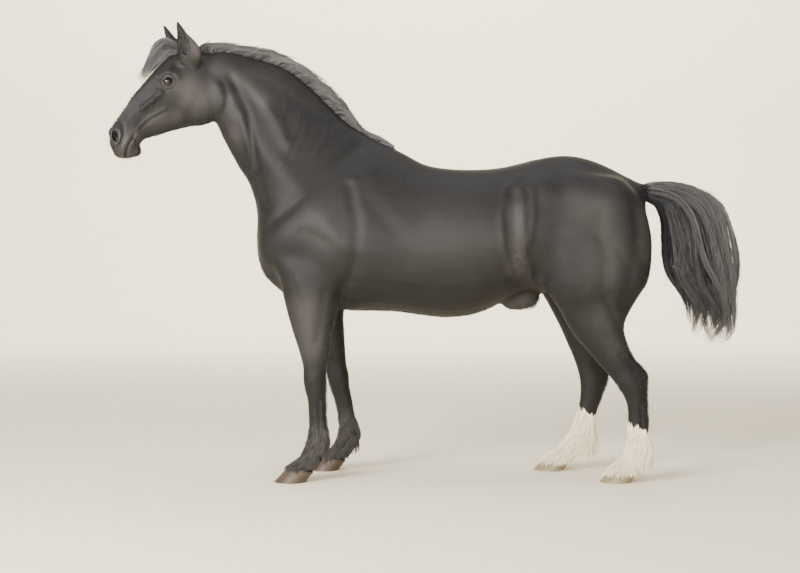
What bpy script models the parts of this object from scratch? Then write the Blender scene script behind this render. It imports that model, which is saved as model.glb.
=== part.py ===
"""A Clydesdale stallion, life size, standing and seen from its left side, in metres.

The horse faces -X, its left side is at -Y, and the ground is z = 0. The flesh is one body, fused
from slices along the trunk, neck, head and legs and from muscles laid on them, and is then parted
with thin cuts. Hoofs, ears and eyes are made one by one, and locks of hair are fused to the part
that they grow from.
"""

import math
import random

import bmesh
import bpy
import numpy as np
from mathutils import Matrix, Vector
from mathutils.bvhtree import BVHTree

# Driving sizes
GAP = 0.0003
VOXEL = 0.009
HEAD_TURN = math.radians(14)
TURN_STARTS_X = -0.80
TURN_ENDS_X = -1.08
MARGIN = 0.06
SHARP = math.radians(50)
POLL = (-1.175, 2.235)
DOCK_Z = 1.506

# Cuts between the parts, as two (x, z) points each cut passes through from side to side
NECK_CUT = ((-0.212, 1.765), (-0.896, 1.436))
HEAD_CUT = ((-1.155, 2.268), (-1.094, 1.885))
FORELEG_CUT = ((-0.742, 0.925), (-0.435, 0.856))
HINDLEG_CUT = ((0.636, 0.869), (1.129, 0.933))
LOWER_LEG_CUT = ((-0.5, 0.440), (0.5, 0.440))
FRONT_REAR_CUT = ((0.0, 1.0), (0.0, 0.0))
TAIL_CUT_X = 1.203
CORONETS = {
    "hindleg_left": ((0.979, 0.083), (1.095, 0.050)),
    "hindleg_right": ((0.672, 0.083), (0.795, 0.050)),
    "foreleg_left": ((-0.705, 0.085), (-0.585, 0.050)),
    "foreleg_right": ((-0.552, 0.085), (-0.432, 0.050)),
}
# The toe and the heel of each hoof on the ground
SOLES = {
    "hindleg_left": (0.905, 1.070),
    "hindleg_right": (0.595, 0.760),
    "foreleg_left": (-0.789, -0.620),
    "foreleg_right": (-0.630, -0.465),
}
LEG_Y = 0.200
HOOF_HALF = (0.082, 0.074, 0.061)
CORONET_RIM = 0.004

# Triangles for the flesh of each part
TRIANGLES = {
    "head": 1420,
    "neck": 520,
    "trunk": 1440,
    "upper_leg": 310,
    "lower_leg": 260,
}

# Ears: slices as in the tables of the flesh, for one side, and the hollow cut into each
EAR = [
    ((-1.318, 2.170), (-1.222, 2.115), 0.028, 0.0, 0.056),
    ((-1.328, 2.235), (-1.206, 2.180), 0.036, 0.0, 0.064),
    ((-1.333, 2.280), (-1.212, 2.240), 0.035, 0.0, 0.072),
    ((-1.335, 2.315), (-1.243, 2.283), 0.028, 0.0, 0.077),
    ((-1.337, 2.340), (-1.284, 2.320), 0.019, 0.0, 0.080),
    ((-1.339, 2.360), (-1.306, 2.349), 0.012, 0.0, 0.081),
    ((-1.340, 2.379), (-1.328, 2.376), 0.004, 0.0, 0.080),
]
EAR_CUP = [
    ((-1.334, 2.228), (-1.264, 2.202), 0.014, 0.0, 0.086),
    ((-1.338, 2.262), (-1.262, 2.232), 0.024, 0.0, 0.096),
    ((-1.340, 2.300), (-1.274, 2.275), 0.024, 0.0, 0.100),
    ((-1.341, 2.330), (-1.297, 2.313), 0.018, 0.0, 0.099),
    ((-1.341, 2.354), (-1.315, 2.343), 0.010, 0.0, 0.093),
    ((-1.340, 2.369), (-1.329, 2.366), 0.003, 0.0, 0.088),
]
# The left ear stands further back than the right one, by this much at its foot and at its tip
EAR_SHIFTS = {-1: (0.018, 0.025), 1: (-0.010, -0.029)}
EAR_FOOT, EAR_TIP = 2.17, 2.379
EYE = (-1.363, 2.071)
EYE_RADIUS = 0.0260
EYE_SUNK = 0.0205
LID = 0.0042
LID_OPENING = (0.0285, 0.0175)
LID_STEPS = 9
# How fast the opening between the lids widens outwards
LID_FLARE = 6
EYE_SLANT = math.radians(20)
NOSTRIL = (-1.629, 1.787)
NOSTRIL_RADII = (0.015, 0.018, 0.031)
NOSTRIL_SLANT = 17
MOUTH = [(-1.540, 1.781), (-1.551, 1.764), (-1.563, 1.742), (-1.572, 1.718), (-1.578, 1.692),
         (-1.581, 1.660)]
MOUTH_RADIUS = 0.0045

# Hair. A sheaf of locks fills the space between these slices, from its root to its tips.
TAIL = [
    ((1.215, 1.556), (1.200, 1.462), 0.040, 0.0),
    ((1.280, 1.564), (1.235, 1.435), 0.055, 0.0),
    ((1.400, 1.548), (1.262, 1.370), 0.072, 0.0),
    ((1.537, 1.463), (1.267, 1.198), 0.090, 0.0),
    ((1.616, 1.277), (1.288, 1.092), 0.098, 0.0),
    ((1.672, 1.065), (1.330, 0.986), 0.092, 0.0),
    ((1.652, 0.880), (1.385, 0.890), 0.074, 0.0),
    ((1.610, 0.765), (1.425, 0.785), 0.052, 0.0),
    ((1.545, 0.690), (1.470, 0.705), 0.026, 0.0),
]
DOCK = [
    ((1.190, 1.551), (1.190, 1.461), 0.037, 0.0),
    ((1.325, 1.551), (1.318, 1.474), 0.034, 0.0),
    ((1.447, 1.492), (1.408, 1.430), 0.030, 0.0),
    ((1.520, 1.360), (1.472, 1.334), 0.024, 0.0),
    ((1.535, 1.200), (1.505, 1.196), 0.012, 0.0),
]
TAIL_ROOTS = [(1.235, 0.0, 1.506), (1.322, 0.0, 1.512), (1.428, 0.0, 1.461), (1.496, 0.0, 1.346),
              (1.518, 0.0, 1.230)]
FORELOCK = [
    ((-1.285, 2.290), (-1.255, 2.205), 0.030, 0.0),
    ((-1.350, 2.302), (-1.310, 2.210), 0.042, 0.0),
    ((-1.404, 2.290), (-1.350, 2.196), 0.050, 0.0),
    ((-1.440, 2.235), (-1.385, 2.165), 0.048, 0.0),
    ((-1.466, 2.175), (-1.425, 2.125), 0.038, 0.0),
    ((-1.492, 2.125), (-1.465, 2.085), 0.024, 0.0),
    ((-1.515, 2.080), (-1.500, 2.055), 0.010, 0.0),
]
FORELOCK_ROOTS = [(-1.262, 0.0, 2.215), (-1.310, 0.0, 2.210)]
# The crest of the neck, and the outer edge of the mane above it
CREST = [(-1.190, 2.245), (-1.155, 2.254), (-1.076, 2.256), (-0.925, 2.236), (-0.795, 2.203),
         (-0.676, 2.143), (-0.578, 2.058), (-0.488, 1.968), (-0.415, 1.893), (-0.350, 1.834),
         (-0.240, 1.790), (-0.160, 1.742)]
# A lock's cross section: shares of its half width and half thickness. It is narrower at its root,
# and drawn out to a tip that is this share of its width.
LOCK_SIDES = ((-1.0, -0.6), (1.0, -0.6), (0.15, 1.2))
LOCK_ROOT = 0.55
LOCK_TIP = 0.06
LOCK_THIN = 0.75
# How much a lock of a sheaf varies: in length, in its place round the sheaf, and in width
LENGTH_VARIES = 0.14
PLACE_VARIES = 0.25
WIDTH_VARIES = 0.4
WAVES = 7
# Rings of locks in a sheaf, as the share of its size and the number of locks in each, and a
# lock's width and thickness
TAIL_RINGS = [(0.90, 13), (0.42, 3)]
TAIL_LOCK = (0.110, 0.014)
TAIL_LATEST_ROOT = 0.40
TAIL_WAVE = 0.10
FORELOCK_RINGS = [(0.85, 8), (0.20, 1)]
FORELOCK_LOCK = (0.048, 0.009)
# The mane rises off the crest, lies back along it and falls on the right side
MANE_RISE = 0.050
MANE_FALL = 0.34
MANE_LEAST_FALL = 0.05
MANE_BACK = 0.11
MANE_LOCK = (0.100, 0.013)
MANE_LAYER = 0.012
MANE_STEPS = 5
MANE_LOCKS = 15
ROOT_DEPTH = 0.010
# The low ridge that the roots of the mane share: its radius and how far it lies under the crest
RIDGE_RADIUS = 0.024
RIDGE_SUNK = 0.012
# How far in every second lock of a sheaf lies, as a share of the sheaf's half thickness
UNDER = 0.14
# Feather of the hind and fore legs: locks behind the fetlock, locks in the fringe over the
# coronet, and how far the hair stands out behind
FEATHER = {"hind": (7, 7, 0.036), "fore": (4, 5, 0.018)}
FEATHER_TOPS = (0.215, 0.300)
FEATHER_LOW = 0.018
FEATHER_ARC = 2.2
FEATHER_LOCK = (0.056, 0.008)
FRINGE_TOP = 0.125
FRINGE_LOW = {"hind": 0.034, "fore": 0.042}
FRINGE_ARC = 3.7
FRINGE_LOCK = (0.072, 0.008)
FRINGE_STAND = 0.005
HAIR_LIFT = 0.006
# Under this height a leg's middle is the hoof's
LEG_FOOT = 0.045
# Where the random draws start for each kind of hair
SEEDS = {"forelock": 7, "feather": 7, "mane": 17, "tail": 72}

# Each slice is one cut across the body: (x, z) of its upper or front edge, (x, z) of its lower or
# rear edge, half its width, and how much wider its upper or front edge is than the other one.
TRUNK = [
    ((-0.893, 1.37), (-0.893, 1.17), 0.080, 0.0),
    ((-0.865, 1.47), (-0.860, 1.07), 0.160, 0.0),
    ((-0.790, 1.56), (-0.790, 1.00), 0.225, 0.0),
    ((-0.700, 1.63), (-0.700, 0.945), 0.262, -0.05),
    ((-0.560, 1.69), (-0.560, 0.905), 0.285, -0.15),
    ((-0.400, 1.735), (-0.400, 0.880), 0.295, -0.25),
    ((-0.270, 1.777), (-0.270, 0.878), 0.305, -0.30),
    ((-0.140, 1.731), (-0.140, 0.872), 0.315, -0.25),
    ((0.000, 1.655), (0.000, 0.852), 0.325, -0.15),
    ((0.130, 1.633), (0.130, 0.842), 0.333, -0.08),
    ((0.270, 1.629), (0.270, 0.862), 0.333, -0.05),
    ((0.400, 1.639), (0.400, 0.915), 0.322, -0.02),
    ((0.530, 1.670), (0.530, 0.965), 0.308, 0.0),
    ((0.660, 1.702), (0.660, 0.975), 0.300, 0.0),
    ((0.790, 1.703), (0.790, 0.985), 0.290, 0.0),
    ((0.920, 1.666), (0.920, 1.000), 0.265, 0.0),
    ((1.040, 1.608), (1.040, 1.050), 0.215, 0.0),
    ((1.120, 1.565), (1.120, 1.150), 0.150, 0.0),
    ((1.165, 1.520), (1.165, 1.280), 0.080, 0.0),
]
NECK = [
    ((-1.193, 2.235), (-1.118, 1.900), 0.074, -0.10),
    ((-1.076, 2.256), (-1.070, 1.805), 0.086, -0.25),
    ((-0.925, 2.236), (-1.002, 1.676), 0.100, -0.35),
    ((-0.744, 2.182), (-0.943, 1.570), 0.120, -0.40),
    ((-0.580, 2.058), (-0.906, 1.475), 0.150, -0.40),
    ((-0.423, 1.898), (-0.875, 1.348), 0.190, -0.35),
    ((-0.255, 1.784), (-0.795, 1.199), 0.220, -0.25),
]
HEAD = [
    ((-1.177, 2.225), (-1.092, 2.005), 0.055, 0.0),
    ((-1.235, 2.252), (-1.081, 1.904), 0.075, 0.10),
    ((-1.309, 2.240), (-1.155, 1.855), 0.088, 0.15),
    ((-1.367, 2.202), (-1.240, 1.842), 0.095, 0.25),
    ((-1.426, 2.143), (-1.325, 1.820), 0.080, 0.25),
    ((-1.487, 2.076), (-1.405, 1.794), 0.064, 0.20),
    ((-1.550, 2.005), (-1.473, 1.773), 0.055, 0.10),
    ((-1.601, 1.931), (-1.500, 1.740), 0.052, 0.0),
    ((-1.640, 1.872), (-1.508, 1.700), 0.055, 0.0),
    ((-1.664, 1.833), (-1.553, 1.674), 0.053, 0.0),
    ((-1.669, 1.793), (-1.603, 1.674), 0.043, 0.0),
    ((-1.659, 1.757), (-1.630, 1.686), 0.025, 0.0),
]
# A leg's slices also say how far their middle is from the middle of the horse.
THIGH = [
    ((0.680, 1.610), (1.020, 1.580), 0.110, 0.0, 0.140),
    ((0.600, 1.480), (1.130, 1.450), 0.158, 0.0, 0.155),
    ((0.575, 1.300), (1.176, 1.290), 0.165, 0.0, 0.165),
    ((0.580, 1.130), (1.178, 1.150), 0.160, 0.0, 0.175),
]
SHOULDER = [
    ((-0.810, 1.160), (-0.390, 1.100), 0.095, 0.0, 0.185),
    ((-0.760, 1.050), (-0.400, 1.020), 0.102, 0.0, 0.192),
]
LEGS = {
    "hindleg_left": THIGH
    + [
        ((0.620, 1.000), (1.155, 1.040), 0.145, 0.0, 0.185),
        ((0.684, 0.902), (1.103, 0.959), 0.122, 0.0, 0.190),
        ((0.756, 0.773), (1.035, 0.830), 0.098, 0.0, 0.195),
        ((0.834, 0.680), (1.041, 0.737), 0.076, 0.0, 0.200),
        ((0.901, 0.602), (1.082, 0.644), 0.061, 0.0, 0.200),
        ((0.958, 0.540), (1.154, 0.566), 0.053, 0.2, 0.200),
        ((1.010, 0.473), (1.152, 0.499), 0.056, 0.1, 0.200),
        ((1.043, 0.396), (1.152, 0.406), 0.050, 0.0, 0.200),
        ((1.047, 0.323), (1.158, 0.323), 0.043, 0.0, 0.200),
        ((1.046, 0.230), (1.162, 0.235), 0.046, 0.0, 0.200),
        ((1.036, 0.165), (1.165, 0.160), 0.053, 0.0, 0.200),
        ((1.010, 0.115), (1.125, 0.095), 0.046, 0.0, 0.200),
        ((0.979, 0.083), (1.095, 0.050), 0.054, 0.0, 0.200),
        ((0.955, 0.050), (1.085, 0.020), 0.050, 0.0, 0.200),
    ],
    "hindleg_right": THIGH
    + [
        ((0.620, 1.000), (1.140, 1.030), 0.145, 0.0, 0.185),
        ((0.665, 0.915), (1.090, 0.955), 0.122, 0.0, 0.190),
        ((0.735, 0.780), (1.020, 0.830), 0.098, 0.0, 0.195),
        ((0.775, 0.690), (1.000, 0.745), 0.078, 0.0, 0.200),
        ((0.810, 0.610), (0.985, 0.660), 0.062, 0.0, 0.200),
        ((0.835, 0.535), (1.010, 0.570), 0.053, 0.2, 0.200),
        ((0.847, 0.470), (1.003, 0.490), 0.056, 0.1, 0.200),
        ((0.847, 0.400), (0.972, 0.405), 0.050, 0.0, 0.200),
        ((0.834, 0.330), (0.946, 0.325), 0.043, 0.0, 0.200),
        ((0.810, 0.250), (0.928, 0.235), 0.046, 0.0, 0.200),
        ((0.773, 0.180), (0.900, 0.160), 0.053, 0.0, 0.200),
        ((0.725, 0.120), (0.840, 0.092), 0.046, 0.0, 0.200),
        ((0.672, 0.083), (0.795, 0.050), 0.054, 0.0, 0.200),
        ((0.650, 0.050), (0.785, 0.020), 0.050, 0.0, 0.200),
    ],
    "foreleg_left": SHOULDER
    + [
        ((-0.738, 0.960), (-0.430, 0.950), 0.098, 0.0, 0.195),
        ((-0.719, 0.881), (-0.453, 0.881), 0.088, 0.0, 0.197),
        ((-0.693, 0.788), (-0.479, 0.788), 0.074, 0.0, 0.198),
        ((-0.660, 0.685), (-0.494, 0.680), 0.061, 0.0, 0.198),
        ((-0.638, 0.600), (-0.508, 0.597), 0.053, 0.0, 0.198),
        ((-0.636, 0.530), (-0.512, 0.530), 0.057, 0.0, 0.197),
        ((-0.628, 0.475), (-0.513, 0.475), 0.053, 0.0, 0.196),
        ((-0.614, 0.420), (-0.513, 0.415), 0.046, 0.0, 0.195),
        ((-0.609, 0.323), (-0.511, 0.323), 0.041, 0.0, 0.195),
        ((-0.612, 0.241), (-0.503, 0.241), 0.044, 0.0, 0.195),
        ((-0.631, 0.180), (-0.500, 0.175), 0.052, 0.0, 0.195),
        ((-0.655, 0.130), (-0.545, 0.108), 0.045, 0.0, 0.195),
        ((-0.705, 0.085), (-0.585, 0.050), 0.055, 0.0, 0.195),
        ((-0.730, 0.050), (-0.600, 0.020), 0.050, 0.0, 0.195),
    ],
    "foreleg_right": SHOULDER
    + [
        ((-0.710, 0.960), (-0.400, 0.960), 0.098, 0.0, 0.195),
        ((-0.676, 0.860), (-0.437, 0.860), 0.085, 0.0, 0.197),
        ((-0.627, 0.762), (-0.434, 0.762), 0.072, 0.0, 0.198),
        ((-0.583, 0.664), (-0.428, 0.664), 0.060, 0.0, 0.198),
        ((-0.549, 0.585), (-0.422, 0.583), 0.053, 0.0, 0.198),
        ((-0.533, 0.515), (-0.408, 0.515), 0.057, 0.0, 0.197),
        ((-0.515, 0.455), (-0.405, 0.455), 0.052, 0.0, 0.196),
        ((-0.491, 0.385), (-0.391, 0.388), 0.045, 0.0, 0.195),
        ((-0.475, 0.300), (-0.377, 0.305), 0.041, 0.0, 0.195),
        ((-0.468, 0.230), (-0.359, 0.240), 0.044, 0.0, 0.195),
        ((-0.481, 0.175), (-0.350, 0.178), 0.052, 0.0, 0.195),
        ((-0.508, 0.125), (-0.395, 0.108), 0.045, 0.0, 0.195),
        ((-0.552, 0.085), (-0.432, 0.050), 0.055, 0.0, 0.195),
        ((-0.575, 0.050), (-0.448, 0.020), 0.050, 0.0, 0.195),
    ],
}
# Round masses fused to the flesh: middle, radii, and how far the first radius leans down at the
# front, in degrees.
MASSES = [
    ((-0.800, 0.110, 1.225), (0.085, 0.110, 0.130), 0),
    ((-1.180, 0.042, 1.985), (0.115, 0.038, 0.112), 40),
    ((-1.358, 0.062, 2.080), (0.054, 0.042, 0.042), 30),
    ((-1.622, 0.030, 1.800), (0.036, 0.026, 0.044), 60),
]
MIDDLE_MASSES = [
    ((-1.531, 0.0, 1.716), (0.043, 0.041, 0.036), 0),
    ((0.505, 0.0, 0.936), (0.105, 0.052, 0.056), 8),
    ((1.165, 0.0, 1.506), (0.085, 0.038, 0.048), 0),
]
# Strokes model the surface. Each one is drawn on the side view as the (x, z) points of its line,
# with its width and how far it raises the surface, and it is laid on both flanks.
STROKES = [
    ([(-0.39, 1.52), (-0.355, 1.36), (-0.352, 1.20), (-0.385, 1.06), (-0.43, 0.98)], 0.035, -0.016),
    ([(-0.50, 1.16), (-0.46, 1.24)], 0.120, 0.022),
    ([(-0.33, 1.60), (-0.55, 1.38), (-0.74, 1.24)], 0.100, 0.018),
    ([(-0.36, 1.74), (-0.60, 1.50), (-0.80, 1.34)], 0.035, -0.012),
    ([(-0.10, 1.30), (0.20, 1.28)], 0.250, 0.010),
    ([(0.425, 1.46), (0.42, 1.32)], 0.045, -0.010),
    ([(0.41, 1.22), (0.43, 1.10), (0.50, 1.00)], 0.040, -0.009),
    ([(0.485, 1.52), (0.492, 1.34), (0.50, 1.18), (0.55, 1.06), (0.62, 0.98)], 0.024, 0.010),
    ([(0.60, 1.54), (0.62, 1.52)], 0.070, 0.016),
    ([(0.76, 1.56), (0.95, 1.47)], 0.110, 0.016),
    ([(1.06, 1.47), (1.09, 1.30), (1.06, 1.10), (1.02, 0.92)], 0.035, -0.009),
    ([(0.72, 1.25), (0.74, 1.05)], 0.110, 0.014),
    ([(0.88, 1.36), (0.92, 1.15), (0.90, 0.98)], 0.040, -0.006),
    ([(0.70, 0.93), (0.71, 0.92)], 0.050, 0.008),
    ([(-1.02, 1.84), (-0.93, 1.62), (-0.84, 1.42)], 0.026, -0.010),
    ([(-1.05, 1.98), (-0.86, 1.72), (-0.66, 1.52)], 0.070, 0.011),
    ([(-1.10, 2.17), (-0.80, 2.06), (-0.50, 1.86)], 0.040, -0.006),
    ([(-1.395, 2.005), (-1.49, 1.930)], 0.016, 0.006),
    ([(-1.325, 2.143), (-1.312, 2.148)], 0.024, -0.008),
    ([(-1.600, 1.870), (-1.560, 1.930)], 0.020, -0.005),
    ([(-1.072, 2.062), (-1.052, 2.007), (-1.057, 1.955), (-1.075, 1.900)], 0.018, -0.010),
    ([(-1.500, 1.860), (-1.450, 1.900)], 0.030, -0.005),
    ([(1.020, 0.520), (1.030, 0.500)], 0.035, 0.005),
    ([(1.075, 0.640), (1.120, 0.570)], 0.014, -0.005),
    ([(1.010, 0.660), (1.075, 0.600)], 0.020, -0.007),
]
# Strokes along the middle, or round the front and rear, as (x, y, z) points.
DEEP_STROKES = [
    ([(-0.90, 0.0, 1.34), (-0.88, 0.0, 1.20), (-0.82, 0.0, 1.05)], 0.035, -0.022),
    ([(0.62, 0.0, 1.70), (0.85, 0.0, 1.69), (1.05, 0.0, 1.61)], 0.035, -0.010),
    ([(1.15, 0.0, 1.42), (1.16, 0.0, 1.25), (1.10, 0.0, 1.05)], 0.045, -0.020),
    ([(-1.05, 0.0, 1.81), (-0.97, 0.0, 1.62)], 0.030, 0.006),
]


def ring(slice_, side, count):
    """Points round one slice, as a squared ellipse that is wider at one edge."""
    (ax, az), (bx, bz), half, taper = slice_[:4]
    depth = slice_[4] * side if len(slice_) > 4 else 0.0
    points = []
    for i in range(count):
        angle = 2 * math.pi * i / count
        up, out = math.sin(angle), math.cos(angle)
        share = (1 + up) / 2
        points.append(
            (
                bx + (ax - bx) * share,
                depth + half * (1 + taper * up) * out,
                bz + (az - bz) * share,
            )
        )
    return points


def eased(rows, between):
    """Rows of numbers with smooth rows put between them, on a Catmull-Rom curve."""
    rows = np.array(rows, float)
    ends = np.vstack([2 * rows[0] - rows[1], rows, 2 * rows[-1] - rows[-2]])
    out = []
    for i in range(1, len(ends) - 2):
        a, b, c, d = ends[i - 1 : i + 3]
        for t in np.arange(between) / between:
            out.append(
                0.5
                * (
                    2 * b
                    + (c - a) * t
                    + (2 * a - 5 * b + 4 * c - d) * t**2
                    + (3 * b - a - 3 * c + d) * t**3
                )
            )
    return np.vstack(out + [rows[-1]])


def flat_row(slice_):
    (ax, az), (bx, bz) = slice_[:2]
    return [ax, az, bx, bz, *slice_[2:]]


def loft(slices, side=1, count=40, between=5):
    """A closed shape through the slices."""
    rows = eased([flat_row(s) for s in slices], between)
    shape = bmesh.new()
    rings = []
    for row in rows:
        points = ring(((row[0], row[1]), (row[2], row[3]), *row[4:]), side, count)
        rings.append([shape.verts.new(p) for p in points])
    for one, two in zip(rings, rings[1:]):
        for i in range(count):
            j = (i + 1) % count
            shape.faces.new((one[i], one[j], two[j], two[i]))
    shape.faces.new(rings[0])
    shape.faces.new(rings[-1])
    bmesh.ops.recalc_face_normals(shape, faces=shape.faces)
    return shape


def blob(middle, radii, lean, side=1, sides=24):
    """An ellipsoid whose first radius leans down towards the front."""
    x, y, z = middle
    place = Matrix.Translation((x, y * side, z)) @ Matrix.Rotation(
        math.radians(-lean), 4, "Y"
    )
    shape = bmesh.new()
    bmesh.ops.create_uvsphere(
        shape,
        u_segments=sides,
        v_segments=sides * 2 // 3,
        radius=1.0,
        matrix=place @ Matrix.Diagonal((*radii, 1.0)),
    )
    return shape


def as_object(name, shape):
    mesh = bpy.data.meshes.new(name)
    shape.to_mesh(mesh)
    shape.free()
    obj = bpy.data.objects.new(name, mesh)
    bpy.context.scene.collection.objects.link(obj)
    return obj


def joined(name, shapes):
    """Several shapes in one object, not yet fused."""
    whole = bmesh.new()
    for shape in shapes:
        part = bpy.data.meshes.new("part")
        shape.to_mesh(part)
        shape.free()
        whole.from_mesh(part)
        bpy.data.meshes.remove(part)
    return as_object(name, whole)


def apply_modifiers(obj):
    """Makes the object's mesh what its modifiers show."""
    graph = bpy.context.evaluated_depsgraph_get()
    mesh = bpy.data.meshes.new_from_object(obj.evaluated_get(graph))
    old = obj.data
    obj.modifiers.clear()
    obj.data = mesh
    bpy.data.meshes.remove(old)
    return obj


def read_points(mesh):
    points = np.empty(len(mesh.vertices) * 3)
    mesh.vertices.foreach_get("co", points)
    return points.reshape(-1, 3)


def write_points(mesh, points):
    mesh.vertices.foreach_set("co", points.ravel())
    mesh.update()


def relaxed(obj, rounds, steps=(0.55, -0.57), where=None):
    """Smooths by steps in and out, which don't shrink it, or only in, which melts its creases."""
    mesh = obj.data
    points = read_points(mesh)
    count = len(points)
    share = 1.0 if where is None else where(points)[:, None]
    ends = np.empty(len(mesh.edges) * 2, np.int32)
    mesh.edges.foreach_get("vertices", ends)
    a, b = ends[0::2], ends[1::2]
    near = np.bincount(a, minlength=count) + np.bincount(b, minlength=count)
    for step in steps * rounds:
        mean = np.stack(
            [
                np.bincount(a, points[b, k], count)
                + np.bincount(b, points[a, k], count)
                for k in range(3)
            ],
            axis=1,
        )
        points += share * step * (mean / near[:, None] - points)
    write_points(mesh, points)
    return obj


def thick_flesh(points):
    """1 on the barrel, shoulders and quarters and at the poll, where creases melt, to 0 elsewhere."""
    x, z = points[:, 0], points[:, 2]
    body = np.clip((z - 0.98) / 0.14, 0, 1) * np.clip((x + 1.02) / 0.12, 0, 1)
    poll = np.exp(-(((x - POLL[0]) / 0.09) ** 2) - ((z - POLL[1]) / 0.12) ** 2)
    dock = np.exp(-(((x - TAIL_CUT_X) / 0.07) ** 2) - ((z - DOCK_Z) / 0.08) ** 2)
    return np.maximum(body * (1 - dock), poll)


def near_line(points, line):
    """How far each point is from a line of straight pieces."""
    line = np.array(line, float)
    best = np.full(len(points), np.inf)
    for a, b in zip(line, line[1:]):
        along = b - a
        t = np.clip((points - a) @ along / (along @ along), 0, 1)
        best = np.minimum(best, np.linalg.norm(points - a - t[:, None] * along, axis=1))
    return best


def stroked(obj):
    """Raises and lowers the surface along every stroke."""
    mesh = obj.data
    points = read_points(mesh)
    normals = np.empty(len(points) * 3)
    mesh.vertices.foreach_get("normal", normals)
    normals = normals.reshape(-1, 3)
    outward = np.clip(normals[:, 1] * np.sign(points[:, 1]), 0, 1) ** 0.7
    height = np.zeros(len(points))
    for line, width, rise in STROKES:
        away = near_line(points[:, [0, 2]], line)
        height += rise * outward * np.exp(-((away / width) ** 2))
    for line, width, rise in DEEP_STROKES:
        height += rise * np.exp(-((near_line(points, line) / width) ** 2))
    write_points(mesh, points + normals * height[:, None])
    return obj


def turn_at(x):
    """How far the neck has turned to the left at x."""
    t = np.clip((TURN_STARTS_X - x) / (TURN_STARTS_X - TURN_ENDS_X), 0, 1)
    return HEAD_TURN * t * t * (3 - 2 * t)


def turned(points):
    """Points of the straight horse, as they lie once its head is turned to the left."""
    points = np.atleast_2d(np.array(points, float))
    xs = np.linspace(TURN_STARTS_X, TURN_ENDS_X, 60)
    step = xs[0] - xs[1]
    middle = turn_at((xs[1:] + xs[:-1]) / 2)
    line_x = np.append(xs[0], xs[0] - np.cumsum(np.cos(middle)) * step)
    line_y = np.append(0.0, -np.cumsum(np.sin(middle)) * step)
    x, angle = points[:, 0], turn_at(points[:, 0])
    beyond = np.minimum(x - TURN_ENDS_X, 0)
    before = np.maximum(x - TURN_STARTS_X, 0)
    on_x = np.interp(-x, -xs, line_x) + beyond * math.cos(HEAD_TURN) + before
    on_y = np.interp(-x, -xs, line_y) + beyond * math.sin(HEAD_TURN)
    y = points[:, 1]
    return np.stack(
        [on_x - y * np.sin(angle), on_y + y * np.cos(angle), points[:, 2]], axis=1
    )


def fused_flesh():
    shapes = [loft(TRUNK), loft(NECK), loft(HEAD)]
    for name, slices in LEGS.items():
        shapes.append(loft(slices, side=-1 if name.endswith("left") else 1))
    for middle, radii, lean in MASSES:
        shapes += [blob(middle, radii, lean, side) for side in (-1, 1)]
    shapes += [blob(*mass) for mass in MIDDLE_MASSES]
    obj = joined("flesh", shapes)
    fuse = obj.modifiers.new("fuse", "REMESH")
    fuse.mode = "VOXEL"
    fuse.voxel_size = VOXEL
    apply_modifiers(obj)
    relaxed(obj, 20)
    relaxed(obj, 70, steps=(0.5,), where=thick_flesh)
    stroked(obj)
    relaxed(obj, 4)
    return obj


def side_cut(two, turn=0.0):
    """A point on a cut and its normal, which points up. The cut turns with the head."""
    (ax, az), (bx, bz) = two
    normal = Vector((az - bz, 0.0, bx - ax)).normalized()
    if normal.z < 0:
        normal = -normal
    point = Vector(((ax + bx) / 2, 0.0, (az + bz) / 2))
    if turn:
        point = Vector(turned(point)[0])
        normal = Matrix.Rotation(turn, 3, "Z") @ normal
    return point, normal


def kept(shape, cut, side, room, fill):
    """Keeps what lies on one side of a cut, room beyond it, and closes the opening."""
    point, normal = cut
    normal = normal * side
    whole = shape.verts[:] + shape.edges[:] + shape.faces[:]
    found = bmesh.ops.bisect_plane(
        shape,
        geom=whole,
        dist=1e-7,
        plane_co=point - normal * room,
        plane_no=-normal,
        clear_outer=True,
    )
    if fill:
        edges = [e for e in found["geom_cut"] if isinstance(e, bmesh.types.BMEdge)]
        bmesh.ops.holes_fill(shape, edges=edges, sides=0)


def copy_of(obj, name):
    twin = bpy.data.objects.new(name, obj.data.copy())
    bpy.context.scene.collection.objects.link(twin)
    return twin


def edited(obj, edit):
    """Runs an edit on the object's mesh."""
    shape = bmesh.new()
    shape.from_mesh(obj.data)
    edit(shape)
    shape.to_mesh(obj.data)
    shape.free()
    return obj


def thinned(obj, triangles):
    """Fewer triangles, where the surface is flattest first."""
    count = sum(len(p.vertices) - 2 for p in obj.data.polygons)
    thin = obj.modifiers.new("thin", "DECIMATE")
    thin.ratio = min(1.0, triangles / count)
    thin.use_collapse_triangulate = True
    return apply_modifiers(obj)


def triangulated(shape):
    bmesh.ops.triangulate(shape, faces=shape.faces)


def largest_only(shape):
    """Leaves the largest of the closed surfaces, each followed from face to face."""
    left = set(shape.faces)
    groups = []
    while left:
        group, rim = set(), {next(iter(left))}
        while rim:
            group |= rim
            edges = {e for face in rim for e in face.edges if len(e.link_faces) == 2}
            rim = {face for e in edges for face in e.link_faces} - group
        groups.append(group)
        left -= group
    groups.sort(key=len)
    spare = [face for group in groups[:-1] for face in group]
    bmesh.ops.delete(shape, geom=spare, context="FACES")


def trimmed(obj, cuts, room=GAP / 2):
    """The object without what lies beyond its cuts, and as far from them as the room says."""

    def exact(shape):
        for cut, side in cuts:
            kept(shape, cut, side, -room, True)
        triangulated(shape)
        largest_only(shape)

    return edited(obj, exact)


def parted(flesh, name, triangles, cuts):
    """One part of the flesh: what lies on the right side of each cut."""
    part = copy_of(flesh, name)

    def rough(shape):
        for cut, side in cuts:
            kept(shape, cut, side, MARGIN, False)

    edited(part, rough)
    thinned(part, triangles)
    return trimmed(part, cuts)


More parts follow.
